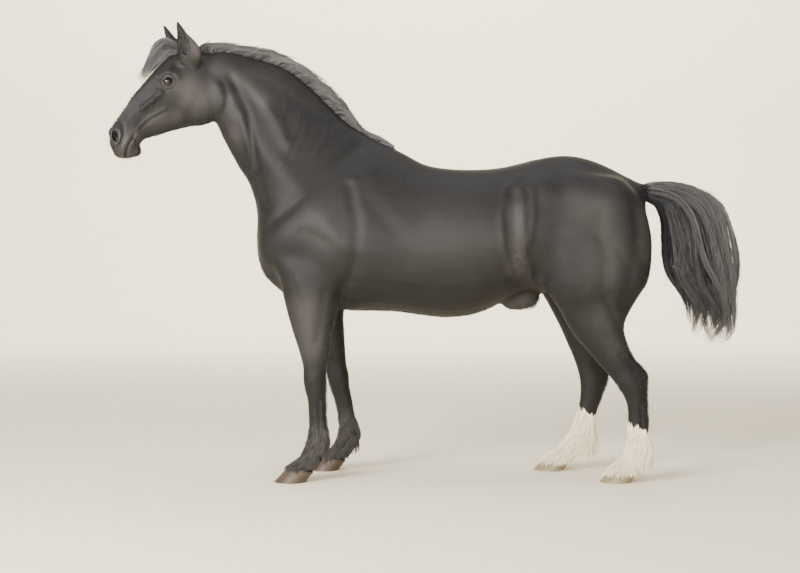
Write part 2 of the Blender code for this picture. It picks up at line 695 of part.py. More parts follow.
def boolean(obj, others, operation, solver="MANIFOLD"):
    """Joins other closed shapes to the object, or cuts them out of it, in one step."""
    group = bpy.data.collections.new("shapes")
    for other in others:
        group.objects.link(other)
    step = obj.modifiers.new(operation, "BOOLEAN")
    step.operation = operation
    step.solver = solver
    step.operand_type = "COLLECTION"
    step.collection = group
    apply_modifiers(obj)
    bpy.data.collections.remove(group)
    for other in others:
        bpy.data.objects.remove(other)
    edited(obj, triangulated)
    return edited(obj, largest_only)


def grown(obj, locks, cuts=()):
    """Fuses locks to the part that they grow from, all in one union."""
    made = [turn_head(as_object("lock", shape)) for shape in locks]
    if cuts:
        made = [trimmed(one, cuts, GAP) for one in made]
    for one in made:
        if not one.data.polygons:
            bpy.data.objects.remove(one)
    return boolean(obj, [one for one in bpy.data.objects if one.name.startswith("lock")], "UNION")


def turn_head(obj):
    write_points(obj.data, turned(read_points(obj.data)))
    return obj


def part_cuts():
    """The cuts round each part of the flesh, and the side of each cut that it lies on."""
    neck = side_cut(NECK_CUT)
    head = side_cut(HEAD_CUT, HEAD_TURN)
    fore, hind = side_cut(FORELEG_CUT), side_cut(HINDLEG_CUT)
    lower = side_cut(LOWER_LEG_CUT)
    front = (Vector((0, 0, 0)), Vector((1, 0, 0)))
    right = (Vector((0, 0, 0)), Vector((0, 1, 0)))
    tail = (Vector((TAIL_CUT_X, 0, 0)), Vector((1, 0, 0)))
    cuts = {
        "head": [(head, -1), (neck, 1)],
        "neck": [(head, 1), (neck, 1)],
        "trunk": [(neck, -1), (fore, 1), (hind, 1), (tail, -1)],
        "tail": [(tail, 1)],
    }
    for name in LEGS:
        is_fore = name.startswith("fore")
        where = [(front, -1 if is_fore else 1), (right, -1 if name.endswith("left") else 1)]
        coronet = side_cut(CORONETS[name])
        cuts[name] = where + [(fore if is_fore else hind, -1), (lower, 1)]
        cuts["lower_" + name] = where + [(lower, -1), (coronet, 1)]
    return cuts


def budget(name):
    if name.startswith("lower"):
        return TRIANGLES["lower_leg"]
    return TRIANGLES.get(name, TRIANGLES["upper_leg"])


def hoof(name):
    """A horn box with a flat sole, wider at the ground than at the coronet."""
    (fx, fz), (rx, rz) = CORONETS[name]
    toe, heel = SOLES[name]
    side = -1 if name.endswith("left") else 1
    low, middle, high = HOOF_HALF
    slope = (rz - fz) / (rx - fx)
    top = (fx - CORONET_RIM, fz - slope * CORONET_RIM - GAP / 2)
    back = (rx + CORONET_RIM, rz + slope * CORONET_RIM - GAP / 2)
    slices = [
        ((toe, 0.0), (heel, 0.0), low, -0.08, LEG_Y),
        ((toe * 0.5 + fx * 0.5, fz / 2), (heel * 0.5 + rx * 0.5, rz / 2), middle, -0.05, LEG_Y),
        (top, back, high, 0.0, LEG_Y),
    ]
    made = as_object("hoof_" + name, loft(slices, side, count=24, between=1))
    return edited(made, triangulated)


def lens(middle, half_long, half_high, slant, reach):
    """A pointed opening between the lids, as a prism that runs out from the eye."""
    shape = bmesh.new()
    x, y, z = middle
    side = math.copysign(1, y)
    outline = []
    for sign in (1, -1):
        for i in range(LID_STEPS):
            t = -1 + 2 * i / LID_STEPS
            outline.append((t * sign * half_long, sign * half_high * math.cos(t * math.pi / 2)))
    rings = []
    for start in (0.0, reach):
        flare = 1 + start * LID_FLARE
        corners = []
        for u, v in outline:
            along = u * math.cos(slant) - v * math.sin(slant)
            up = u * math.sin(slant) + v * math.cos(slant)
            place = (x + along * flare, y + side * start, z + up * flare)
            corners.append(shape.verts.new(place))
        rings.append(corners)
    count = len(outline)
    for i in range(count):
        j = (i + 1) % count
        shape.faces.new((rings[0][i], rings[0][j], rings[1][j], rings[1][i]))
    shape.faces.new(rings[0])
    shape.faces.new(rings[1])
    bmesh.ops.recalc_face_normals(shape, faces=shape.faces)
    return shape


def ball(middle, radius):
    shape = bmesh.new()
    bmesh.ops.create_uvsphere(
        shape, u_segments=14, v_segments=8, radius=radius, matrix=Matrix.Translation(middle)
    )
    return shape


def skin_point(tree, x, z, side):
    """Where a level line from the side meets the skin."""
    return tree.ray_cast(Vector((x, side * 2.0, z)), Vector((0, -side, 0)))[0]


def tube(path, radius):
    """A six-sided tube along the points, closed and thinner at its ends."""
    shape = bmesh.new()
    rings = []
    for i, p in enumerate(path):
        along = (path[min(i + 1, len(path) - 1)] - path[max(i - 1, 0)]).normalized()
        one = along.orthogonal().normalized()
        if rings:
            one = (before - along * before.dot(along)).normalized()
        before = one
        two = along.cross(one)
        size = radius * (0.3 if i in (0, len(path) - 1) else 1.0)
        rings.append(
            [
                shape.verts.new(
                    p + (one * math.cos(a) + two * math.sin(a)) * size
                )
                for a in (math.pi * k / 3 for k in range(6))
            ]
        )
    for a, b in zip(rings, rings[1:]):
        for i in range(6):
            j = (i + 1) % 6
            shape.faces.new((a[i], a[j], b[j], b[i]))
    shape.faces.new(rings[0])
    shape.faces.new(rings[-1])
    bmesh.ops.recalc_face_normals(shape, faces=shape.faces)
    return shape


def mouth_path(tree):
    """The line between the lips, from one corner round the front to the other."""
    left = [skin_point(tree, x, z, -1) for x, z in MOUTH[:-1]]
    right = [skin_point(tree, x, z, 1) for x, z in MOUTH[:-1]]
    lowest = tree.ray_cast(Vector((MOUTH[-1][0], 0.0, 1.0)), Vector((0, 0, 1)))[0]
    return left + [lowest] + right[::-1]


def finished_head(head, tree):
    """Eyes in their lids, nostrils and the line of the mouth. Returns the two eyeballs."""
    lids, cuts, eyes = [], [], []
    for side, name in ((-1, "eye_left"), (1, "eye_right")):
        skin = skin_point(tree, *EYE, side)
        middle = skin - Vector((0, side * EYE_SUNK, 0))
        lids.append(turn_head(as_object("lid", ball(middle, EYE_RADIUS + LID))))
        start = middle + Vector((0, side * EYE_RADIUS * 0.35, 0))
        opening = lens(start, *LID_OPENING, EYE_SLANT, 0.04)
        cuts.append(turn_head(as_object("opening", opening)))
        cuts.append(turn_head(as_object("socket", ball(middle, EYE_RADIUS + GAP))))
        eyes.append(turn_head(as_object(name, ball(middle, EYE_RADIUS))))
        nose = skin_point(tree, *NOSTRIL, side)
        pit = blob((nose.x, abs(nose.y), nose.z), NOSTRIL_RADII, NOSTRIL_SLANT, side, 12)
        cuts.append(turn_head(as_object("pit", pit)))
    cuts.append(turn_head(as_object("mouth", tube(mouth_path(tree), MOUTH_RADIUS))))
    boolean(head, lids, "UNION")
    boolean(head, cuts, "DIFFERENCE")
    return {eye.name: edited(eye, triangulated) for eye in eyes}


def leaned(slices, side):
    """The slices of an ear moved along the head, more so towards its tip."""
    foot, tip = EAR_SHIFTS[side]
    moved = []
    for (ax, az), (bx, bz), *rest in slices:
        t = ((az + bz) / 2 - EAR_FOOT) / (EAR_TIP - EAR_FOOT)
        shift = foot + (tip - foot) * t
        moved.append(((ax + shift, az), (bx + shift, bz), *rest))
    return moved


def ear(name, head):
    """A cup on each side of the poll, cut clear of the head."""
    side = -1 if name.endswith("left") else 1
    whole = turn_head(as_object(name, loft(leaned(EAR, side), side, count=14, between=1)))
    cup = turn_head(as_object("cup", loft(leaned(EAR_CUP, side), side, count=10, between=1)))
    room = copy_of(head, "room")
    mesh = room.data
    points = read_points(mesh)
    normals = np.empty(len(points) * 3)
    mesh.vertices.foreach_get("normal", normals)
    write_points(mesh, points + normals.reshape(-1, 3) * GAP * 2)
    boolean(whole, [cup], "DIFFERENCE")
    return boolean(whole, [room], "DIFFERENCE")


def lock(path, outward, width, thick):
    """A flat lock along a path: widest in its upper half and drawn out to a narrow tip."""
    shape = bmesh.new()
    rings = []
    last = len(path) - 1
    for i, (p, out) in enumerate(zip(path, outward)):
        along = (path[min(i + 1, last)] - path[max(i - 1, 0)]).normalized()
        out = (out - along * out.dot(along)).normalized()
        across = along.cross(out)
        t = i / last
        swell = min(1.0, LOCK_ROOT + 1.5 * t) * (1 - t**2.2) + LOCK_TIP
        half, deep = width * swell / 2, thick * (1 - t * LOCK_THIN) / 2
        rings.append(
            [
                shape.verts.new(p + across * (half * u) + out * (deep * v))
                for u, v in LOCK_SIDES
            ]
        )
    count = len(LOCK_SIDES)
    for a, b in zip(rings, rings[1:]):
        for i in range(count):
            j = (i + 1) % count
            shape.faces.new((a[i], a[j], b[j], b[i]))
    shape.faces.new(rings[0])
    shape.faces.new(rings[-1])
    bmesh.ops.triangulate(shape, faces=shape.faces)
    bmesh.ops.recalc_face_normals(shape, faces=shape.faces)
    return shape


def point_on(points, t):
    """The point a share t of the way along a list of points."""
    place = min(max(t, 0.0), 1.0) * (len(points) - 1)
    i = min(int(place), len(points) - 2)
    return Vector(points[i]).lerp(Vector(points[i + 1]), place - i)


def soft(t):
    t = min(max(t, 0.0), 1.0)
    return t * t * (3 - 2 * t)


def sheaf(slices, roots, rings, size, draw, latest=0.0, wave=0.0, steps=6):
    """Locks that start along the roots and fill the space between the slices, ring within ring.

    Every second lock of a ring lies further in, so that it passes under its neighbours.
    """
    rows = eased([flat_row(s)[:5] for s in slices], 6)
    locks = []
    for share, count in rings:
        for i in range(count):
            start, end = latest * draw.random(), 1.0 - LENGTH_VARIES * draw.random()
            angle = 2 * math.pi * (i + PLACE_VARIES * draw.random()) / count
            phase = 2 * math.pi * draw.random()
            wider = 1 + WIDTH_VARIES * (draw.random() - 0.5)
            path, outward = [], []
            for k in range(steps + 1):
                t = start + (end - start) * k / steps
                ax, az, bx, bz, half = point_on_row(rows, t)
                radius = share - UNDER * (i % 2)
                turn = angle + wave * math.sin(phase + WAVES * t) * t
                up, out = math.sin(turn), math.cos(turn)
                edge = Vector(((ax - bx) / 2, 0.0, (az - bz) / 2))
                place = Vector(((ax + bx) / 2, 0.0, (az + bz) / 2))
                place += edge * (up * radius) + Vector((0, out * half * radius, 0))
                normal = edge * (up / edge.length_squared) + Vector((0, out / half, 0))
                root = point_on(roots, start / max(latest, 0.01))
                path.append(root.lerp(place, soft(k / 2)))
                outward.append(normal.normalized())
            locks.append(lock(path, outward, size[0] * wider, size[1]))
    return locks


def point_on_row(rows, t):
    """A row of numbers a share t of the way through smooth rows."""
    place = min(max(t, 0.0), 1.0) * (len(rows) - 1)
    i = min(int(place), len(rows) - 2)
    return rows[i] * (1 - place + i) + rows[i + 1] * (place - i)


def mane_lock(tree, crest, draw, t, layer):
    """One lock of the mane: up off the crest, back along it and down the right side."""
    x, z = crest
    rise = MANE_RISE * draw.uniform(0.80, 1.0) * min(1.0, (1 - t) * 6 + 0.45)
    fall = max(MANE_LEAST_FALL, MANE_FALL * draw.uniform(0.85, 1.05) * soft((1 - t) * 1.8))
    back = MANE_BACK * draw.uniform(0.8, 1.2)
    path, outward = [], []
    for k in range(MANE_STEPS + 1):
        s = k / MANE_STEPS
        if k == 0:
            aim, lift = Vector((x - 0.02, -0.012, z - 0.010)), -ROOT_DEPTH
        elif k == 1:
            aim, lift = Vector((x + 0.3 * back, -0.004, z)), rise * 0.7
        else:
            down = fall * (s - 1 / MANE_STEPS) ** 1.1
            shift = back * (0.5 + 0.8 * s)
            aim = Vector((x + shift, 0.012 + 0.35 * down**0.6, z - 0.5 * shift - down))
            lift = (rise / 2 + 1.5 * MANE_LAYER * layer) * (1.05 - s) ** 0.6
            lift += MANE_LAYER * (1 + layer)
        skin, normal = tree.find_nearest(aim)[:2]
        path.append(skin + normal * lift)
        outward.append(normal)
    width, thick = MANE_LOCK
    return lock(path, outward, width * draw.uniform(0.9, 1.1), thick)


def mane(tree, draw):
    """Locks along the crest in two layers, over a low ridge that their roots share."""
    crest = eased([[*p] for p in CREST], 4)
    spots = [point_on_row(crest, t) for t in np.linspace(0.0, 0.97, 11)]
    ridge = [Vector((x, 0.0, z - RIDGE_SUNK)) for x, z in spots]
    locks = [tube(ridge, RIDGE_RADIUS)]
    for i in range(MANE_LOCKS):
        t = (i + 0.3 * draw.random()) / MANE_LOCKS
        spot = point_on_row(crest, 0.03 + 0.94 * t)
        locks.append(mane_lock(tree, spot, draw, t, i % 2))
    return locks


def leg_middle(name, z):
    """The middle of a leg at a height."""
    rows = sorted([((a[1] + b[1]) / 2, (a[0] + b[0]) / 2) for a, b, *_ in LEGS[name]])
    side = -1 if name.endswith("left") else 1
    return Vector((np.interp(z, [r[0] for r in rows], [r[1] for r in rows]), side * LEG_Y, z))


def outside(trees, middle, out):
    """How far the outermost surface is from the middle, level with it."""
    reach = 0.0
    for tree in trees:
        hit = tree.ray_cast(middle + out * 0.25, -out, 0.25)[0]
        if hit:
            reach = max(reach, (hit - middle).length)
    return reach


def leg_lock(name, trees, angle, top, low, stand, size, steps):
    """A lock that grows at a height, at an angle from the rear, and hangs clear of the hoof."""
    path, outward = [], []
    for k in range(steps + 1):
        s = k / steps
        z = top + (low - top) * s
        out = Vector((math.cos(angle), math.sin(angle), 0))
        middle = leg_middle(name, max(z, LEG_FOOT))
        middle.z = z
        lift = -ROOT_DEPTH if k == 0 else HAIR_LIFT + stand * soft(1.2 * s)
        path.append(middle + out * (outside(trees, middle, out) + lift))
        outward.append(out + Vector((0, 0, 0.2)))
    return lock(path, outward, *size)


def feather(name, tree, horn, draw):
    """Long hair behind the fetlock and a fringe over the coronet."""
    trees = [tree, horn]
    rear, fringe, stand = FEATHER[name[:4]]
    locks = []
    for i in range(rear):
        angle = (i / (rear - 1) - 0.5) * FEATHER_ARC + draw.uniform(0, 0.08)
        upper = i % 2
        top = FEATHER_TOPS[upper] - draw.uniform(0, 0.025)
        low = FEATHER_LOW + 0.03 * abs(angle) + draw.uniform(0, 0.012)
        out = stand * (1.1 - 0.5 * abs(angle)) + 0.012 * upper
        locks.append(leg_lock(name, trees, angle, top, low, out, FEATHER_LOCK, 4))
    for i in range(fringe):
        angle = math.pi + (i / (fringe - 1) - 0.5) * FRINGE_ARC
        top = FRINGE_TOP + draw.uniform(0, 0.02)
        low = FRINGE_LOW[name[:4]] + draw.uniform(0, 0.012)
        locks.append(leg_lock(name, trees, angle, top, low, FRINGE_STAND, FRINGE_LOCK, 3))
    return locks


def painted(obj, colour, roughness):
    """One plain material for each object, and smooth shading."""
    material = bpy.data.materials.new(obj.name)
    material.use_nodes = True
    shader = material.node_tree.nodes["Principled BSDF"]
    shader.inputs["Base Color"].default_value = (*colour, 1.0)
    shader.inputs["Roughness"].default_value = roughness
    shader.inputs["Metallic"].default_value = 0.0
    obj.data.materials.clear()
    obj.data.materials.append(material)
    obj.data.shade_smooth()
    obj.data.set_sharp_from_angle(angle=SHARP)


def colour_of(name):
    """Colour and roughness by the part's name."""
    if name.startswith("eye"):
        return (0.02, 0.012, 0.008), 0.15
    if name.startswith("hoof_hind"):
        return (0.40, 0.33, 0.22), 0.45
    if name.startswith("hoof"):
        return (0.28, 0.21, 0.16), 0.45
    if name.startswith("lower_hindleg"):
        return (0.72, 0.66, 0.57), 0.6
    if name == "tail":
        return (0.16, 0.155, 0.145), 0.5
    return (0.065, 0.056, 0.050), 0.45


def tree_of(obj):
    mesh = obj.data
    points = [v.co.copy() for v in mesh.vertices]
    return BVHTree.FromPolygons(points, [p.vertices for p in mesh.polygons])


def main():
    for obj in list(bpy.data.objects):
        bpy.data.objects.remove(obj)
    flesh = fused_flesh()
    tree = tree_of(flesh)
    turn_head(flesh)
    cuts = part_cuts()
    parts = {}
    for name in cuts:
        if name != "tail":
            parts[name] = parted(flesh, name, budget(name), cuts[name])
    bpy.data.objects.remove(flesh)
    parts.update(finished_head(parts["head"], tree))
    draws = {form: random.Random(seed) for form, seed in SEEDS.items()}
    hair = sheaf(FORELOCK, FORELOCK_ROOTS, FORELOCK_RINGS, FORELOCK_LOCK, draws["forelock"], steps=4)
    grown(parts["head"], hair)
    for name in ("ear_left", "ear_right"):
        parts[name] = ear(name, parts["head"])
    for name in LEGS:
        horn = parts["hoof_" + name] = hoof(name)
        grown(parts["lower_" + name], feather(name, tree, tree_of(horn), draws["feather"]))
    grown(parts["neck"], mane(tree, draws["mane"]), cuts["neck"])
    tail = trimmed(as_object("tail", loft(DOCK, count=10, between=2)), cuts["tail"])
    hair = sheaf(
        TAIL, TAIL_ROOTS, TAIL_RINGS, TAIL_LOCK, draws["tail"], TAIL_LATEST_ROOT, TAIL_WAVE
    )
    parts["tail"] = grown(tail, hair)
    for name, obj in parts.items():
        painted(obj, *colour_of(name))


main()
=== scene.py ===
"""The looks of a life-size Clydesdale stallion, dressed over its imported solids, in metres.

The horse faces -X and its left side is at -Y. One skin covers all the flesh. It is lofted and fused
in a straight pose from the same slices as the solids, only finer, and the neck is turned to the
left at the end. Mane, forelock, tail, feather and fur are fine mesh locks rooted in that skin.
"""

import math

import bmesh
import bpy
import numpy as np
from mathutils import Matrix, Vector
from mathutils.bvhtree import BVHTree


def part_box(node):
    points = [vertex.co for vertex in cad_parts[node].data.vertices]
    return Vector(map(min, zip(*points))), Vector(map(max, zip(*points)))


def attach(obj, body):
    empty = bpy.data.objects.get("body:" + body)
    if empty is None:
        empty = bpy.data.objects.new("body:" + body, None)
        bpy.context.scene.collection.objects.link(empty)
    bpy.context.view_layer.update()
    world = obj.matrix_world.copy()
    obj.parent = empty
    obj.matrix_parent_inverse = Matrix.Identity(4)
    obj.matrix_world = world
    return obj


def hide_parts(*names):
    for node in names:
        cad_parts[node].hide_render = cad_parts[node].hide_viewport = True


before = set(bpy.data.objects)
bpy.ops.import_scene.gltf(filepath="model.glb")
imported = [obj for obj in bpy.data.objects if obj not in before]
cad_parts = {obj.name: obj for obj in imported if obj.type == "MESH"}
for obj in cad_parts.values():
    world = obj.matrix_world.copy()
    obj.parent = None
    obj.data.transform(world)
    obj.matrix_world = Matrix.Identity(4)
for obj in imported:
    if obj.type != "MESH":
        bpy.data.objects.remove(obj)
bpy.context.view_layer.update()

# The skin: how finely it is fused, how deep it lies under the tips of the coat, and the turn of the neck
SKIN_VOXEL = 0.0115
COAT_DEPTH = 0.0025
HEAD_TURN = math.radians(14)
TURN_STARTS_X = -0.80
TURN_ENDS_X = -1.08
POLL = (-1.175, 2.235)
DOCK_ROOT = (1.203, 1.506)

# Ears: slices as in the tables of the flesh, for one side, and the hollow cut into each
EAR = [
    (-1.318, 2.170, -1.222, 2.115, 0.028, 0.0, 0.056),
    (-1.328, 2.235, -1.206, 2.180, 0.036, 0.0, 0.064),
    (-1.333, 2.280, -1.212, 2.240, 0.035, 0.0, 0.072),
    (-1.335, 2.315, -1.243, 2.283, 0.028, 0.0, 0.077),
    (-1.337, 2.340, -1.284, 2.320, 0.019, 0.0, 0.080),
    (-1.339, 2.360, -1.306, 2.349, 0.012, 0.0, 0.081),
    (-1.340, 2.379, -1.328, 2.376, 0.004, 0.0, 0.080),
]
EAR_CUP = [
    (-1.334, 2.228, -1.264, 2.202, 0.014, 0.0, 0.086),
    (-1.338, 2.262, -1.262, 2.232, 0.024, 0.0, 0.096),
    (-1.340, 2.300, -1.274, 2.275, 0.024, 0.0, 0.100),
    (-1.341, 2.330, -1.297, 2.313, 0.018, 0.0, 0.099),
    (-1.341, 2.354, -1.315, 2.343, 0.010, 0.0, 0.093),
    (-1.340, 2.369, -1.329, 2.366, 0.003, 0.0, 0.088),
]
# The left ear stands further back than the right one, by this much at its foot and at its tip
EAR_SHIFTS = {-1: (0.018, 0.025), 1: (-0.010, -0.029)}
EAR_FOOT, EAR_TIP = 2.17, 2.379
EYE = (-1.363, 2.071)
EYE_RADIUS = 0.0260
EYES = {-1: "eye_left", 1: "eye_right"}
LID = 0.0036
LID_OPENING = (0.0285, 0.0158)
LID_STEPS = 16
LID_FLARE = 6
EYE_SLANT = math.radians(20)
NOSTRIL = (-1.629, 1.787)
NOSTRIL_RADII = (0.015, 0.026, 0.031)
NOSTRIL_SLANT = 17
MOUTH = [(-1.540, 1.781), (-1.551, 1.764), (-1.563, 1.742), (-1.572, 1.718), (-1.578, 1.692),
         (-1.581, 1.660)]
MOUTH_RADIUS = 0.0035
TUBE_END = 0.3
# Half the width of the shade painted along the line between the lips
CREASE_SHADE_HALF = 0.0042
GAP = 0.0003
# Rounds of smoothing: all the fused flesh, the creases of its thick parts, the head and feet once they
# are finer, the strokes, and the face once it is finer
FUSED_ROUNDS, CREASE_ROUNDS, HEAD_ROUNDS, STROKE_ROUNDS, FACE_ROUNDS = 12, 42, 6, 2, 5
# Strokes of the side view fade out where the surface turns away from the side, by this power
FLANK_POWER = 0.7
# Where the head starts, the height of its lowest point, and the height that the feet reach
HEAD_X, FACE_FOOT, FEET_TOP = -1.15, 1.64, 0.60
# What is made finer on the face: how far round the eye, and from where forward and how high the muzzle
FINE_EYE, FINE_MUZZLE = 0.062, (-1.50, 1.90)
# What is smoothed once its parts are fused or cut: round the eye, the muzzle, and the feet of the ears
SEAM_EYE, SEAM_MUZZLE, SEAM_EARS = 0.036, (-1.53, 1.84), (-1.36, -1.20, 2.12)
# How far creases melt: from this height and place up and back, and round the poll and the dock
THICK_Z, THICK_X = 0.98, -1.02
POLL_SPREAD, DOCK_SPREAD = (0.09, 0.12), (0.07, 0.08)
# Below this height the hair turns to lie down the legs, and by how much lower it does so fully
LEG_HAIR_TOP, LEG_HAIR_FADE = 1.05, 0.20

# Hair. A sheaf of locks fills the space between these slices, from its root to its tips.
TAIL = [
    (1.215, 1.556, 1.200, 1.462, 0.040, 0.0),
    (1.280, 1.564, 1.235, 1.435, 0.055, 0.0),
    (1.400, 1.548, 1.262, 1.370, 0.072, 0.0),
    (1.537, 1.463, 1.267, 1.198, 0.090, 0.0),
    (1.616, 1.277, 1.288, 1.092, 0.098, 0.0),
    (1.672, 1.065, 1.330, 0.986, 0.092, 0.0),
    (1.652, 0.880, 1.385, 0.890, 0.074, 0.0),
    (1.610, 0.765, 1.425, 0.785, 0.052, 0.0),
    (1.545, 0.690, 1.470, 0.705, 0.026, 0.0),
]
DOCK = [
    (1.190, 1.551, 1.190, 1.461, 0.037, 0.0),
    (1.325, 1.551, 1.318, 1.474, 0.034, 0.0),
    (1.447, 1.492, 1.408, 1.430, 0.030, 0.0),
    (1.520, 1.360, 1.472, 1.334, 0.024, 0.0),
    (1.535, 1.200, 1.505, 1.196, 0.012, 0.0),
]
TAIL_ROOTS = [(1.165, 0.0, 1.506), (1.215, 0.0, 1.506), (1.270, 0.0, 1.512), (1.350, 0.0, 1.500),
              (1.428, 0.0, 1.461), (1.496, 0.0, 1.346), (1.518, 0.0, 1.230)]
FORELOCK = [
    (-1.285, 2.290, -1.255, 2.205, 0.030, 0.0),
    (-1.350, 2.302, -1.310, 2.210, 0.042, 0.0),
    (-1.404, 2.290, -1.350, 2.196, 0.050, 0.0),
    (-1.440, 2.235, -1.385, 2.165, 0.046, 0.0),
    (-1.468, 2.170, -1.428, 2.122, 0.036, 0.0),
    (-1.494, 2.122, -1.470, 2.078, 0.024, 0.0),
    (-1.524, 2.078, -1.510, 2.050, 0.012, 0.0),
]
FORELOCK_ROOTS = [(-1.262, 0.0, 2.215), (-1.310, 0.0, 2.210)]
# The crest of the neck, and the outer edge of the mane above it
CREST = [(-1.190, 2.245), (-1.155, 2.254), (-1.076, 2.256), (-0.925, 2.236), (-0.795, 2.203),
         (-0.676, 2.143), (-0.578, 2.058), (-0.488, 1.968), (-0.415, 1.893), (-0.350, 1.834),
         (-0.240, 1.790), (-0.160, 1.742)]

CORONETS = {
    "hindleg_left": ((0.979, 0.083), (1.095, 0.050)),
    "hindleg_right": ((0.672, 0.083), (0.795, 0.050)),
    "foreleg_left": ((-0.705, 0.085), (-0.585, 0.050)),
    "foreleg_right": ((-0.552, 0.085), (-0.432, 0.050)),
}
# The toe and the heel of each hoof on the ground
SOLES = {
    "hindleg_left": (0.905, 1.070),
    "hindleg_right": (0.595, 0.760),
    "foreleg_left": (-0.789, -0.620),
    "foreleg_right": (-0.630, -0.465),
}
LEG_Y = 0.200
HOOF_HALF = (0.082, 0.074, 0.061)

# Each slice is one cut across the body: x and z of its upper or front edge, x and z of its lower or
# rear edge, half its width, and how much wider its upper or front edge is than the other one.
TRUNK = [
    (-0.893, 1.37, -0.893, 1.17, 0.080, 0.0),
    (-0.865, 1.47, -0.860, 1.07, 0.160, 0.0),
    (-0.790, 1.56, -0.790, 1.00, 0.225, 0.0),
    (-0.700, 1.63, -0.700, 0.945, 0.262, -0.05),
    (-0.560, 1.69, -0.560, 0.905, 0.285, -0.15),
    (-0.400, 1.735, -0.400, 0.880, 0.295, -0.25),
    (-0.270, 1.777, -0.270, 0.878, 0.305, -0.30),
    (-0.140, 1.731, -0.140, 0.872, 0.315, -0.25),
    (0.000, 1.655, 0.000, 0.852, 0.325, -0.15),
    (0.130, 1.633, 0.130, 0.842, 0.333, -0.08),
    (0.270, 1.629, 0.270, 0.862, 0.333, -0.05),
    (0.400, 1.639, 0.400, 0.915, 0.322, -0.02),
    (0.530, 1.670, 0.530, 0.965, 0.308, 0.0),
    (0.660, 1.702, 0.660, 0.975, 0.300, 0.0),
    (0.790, 1.703, 0.790, 0.985, 0.290, 0.0),
    (0.920, 1.666, 0.920, 1.000, 0.265, 0.0),
    (1.040, 1.608, 1.040, 1.050, 0.215, 0.0),
    (1.120, 1.565, 1.120, 1.150, 0.150, 0.0),
    (1.165, 1.520, 1.165, 1.280, 0.080, 0.0),
]
NECK = [
    (-1.193, 2.235, -1.118, 1.900, 0.074, -0.10),
    (-1.076, 2.256, -1.070, 1.805, 0.086, -0.25),
    (-0.925, 2.236, -1.002, 1.676, 0.100, -0.35),
    (-0.744, 2.182, -0.943, 1.570, 0.120, -0.40),
    (-0.580, 2.058, -0.906, 1.475, 0.150, -0.40),
    (-0.423, 1.898, -0.875, 1.348, 0.190, -0.35),
    (-0.255, 1.784, -0.795, 1.199, 0.220, -0.25),
]
HEAD = [
    (-1.177, 2.225, -1.092, 2.005, 0.055, 0.0),
    (-1.235, 2.252, -1.081, 1.904, 0.075, 0.10),
    (-1.309, 2.240, -1.155, 1.855, 0.088, 0.15),
    (-1.367, 2.202, -1.240, 1.842, 0.095, 0.25),
    (-1.426, 2.143, -1.325, 1.820, 0.080, 0.25),
    (-1.487, 2.076, -1.405, 1.794, 0.064, 0.20),
    (-1.550, 2.005, -1.473, 1.773, 0.055, 0.10),
    (-1.601, 1.931, -1.500, 1.740, 0.052, 0.0),
    (-1.640, 1.872, -1.508, 1.700, 0.055, 0.0),
    (-1.664, 1.833, -1.553, 1.674, 0.053, 0.0),
    (-1.669, 1.793, -1.603, 1.674, 0.043, 0.0),
    (-1.659, 1.757, -1.630, 1.686, 0.025, 0.0),
]
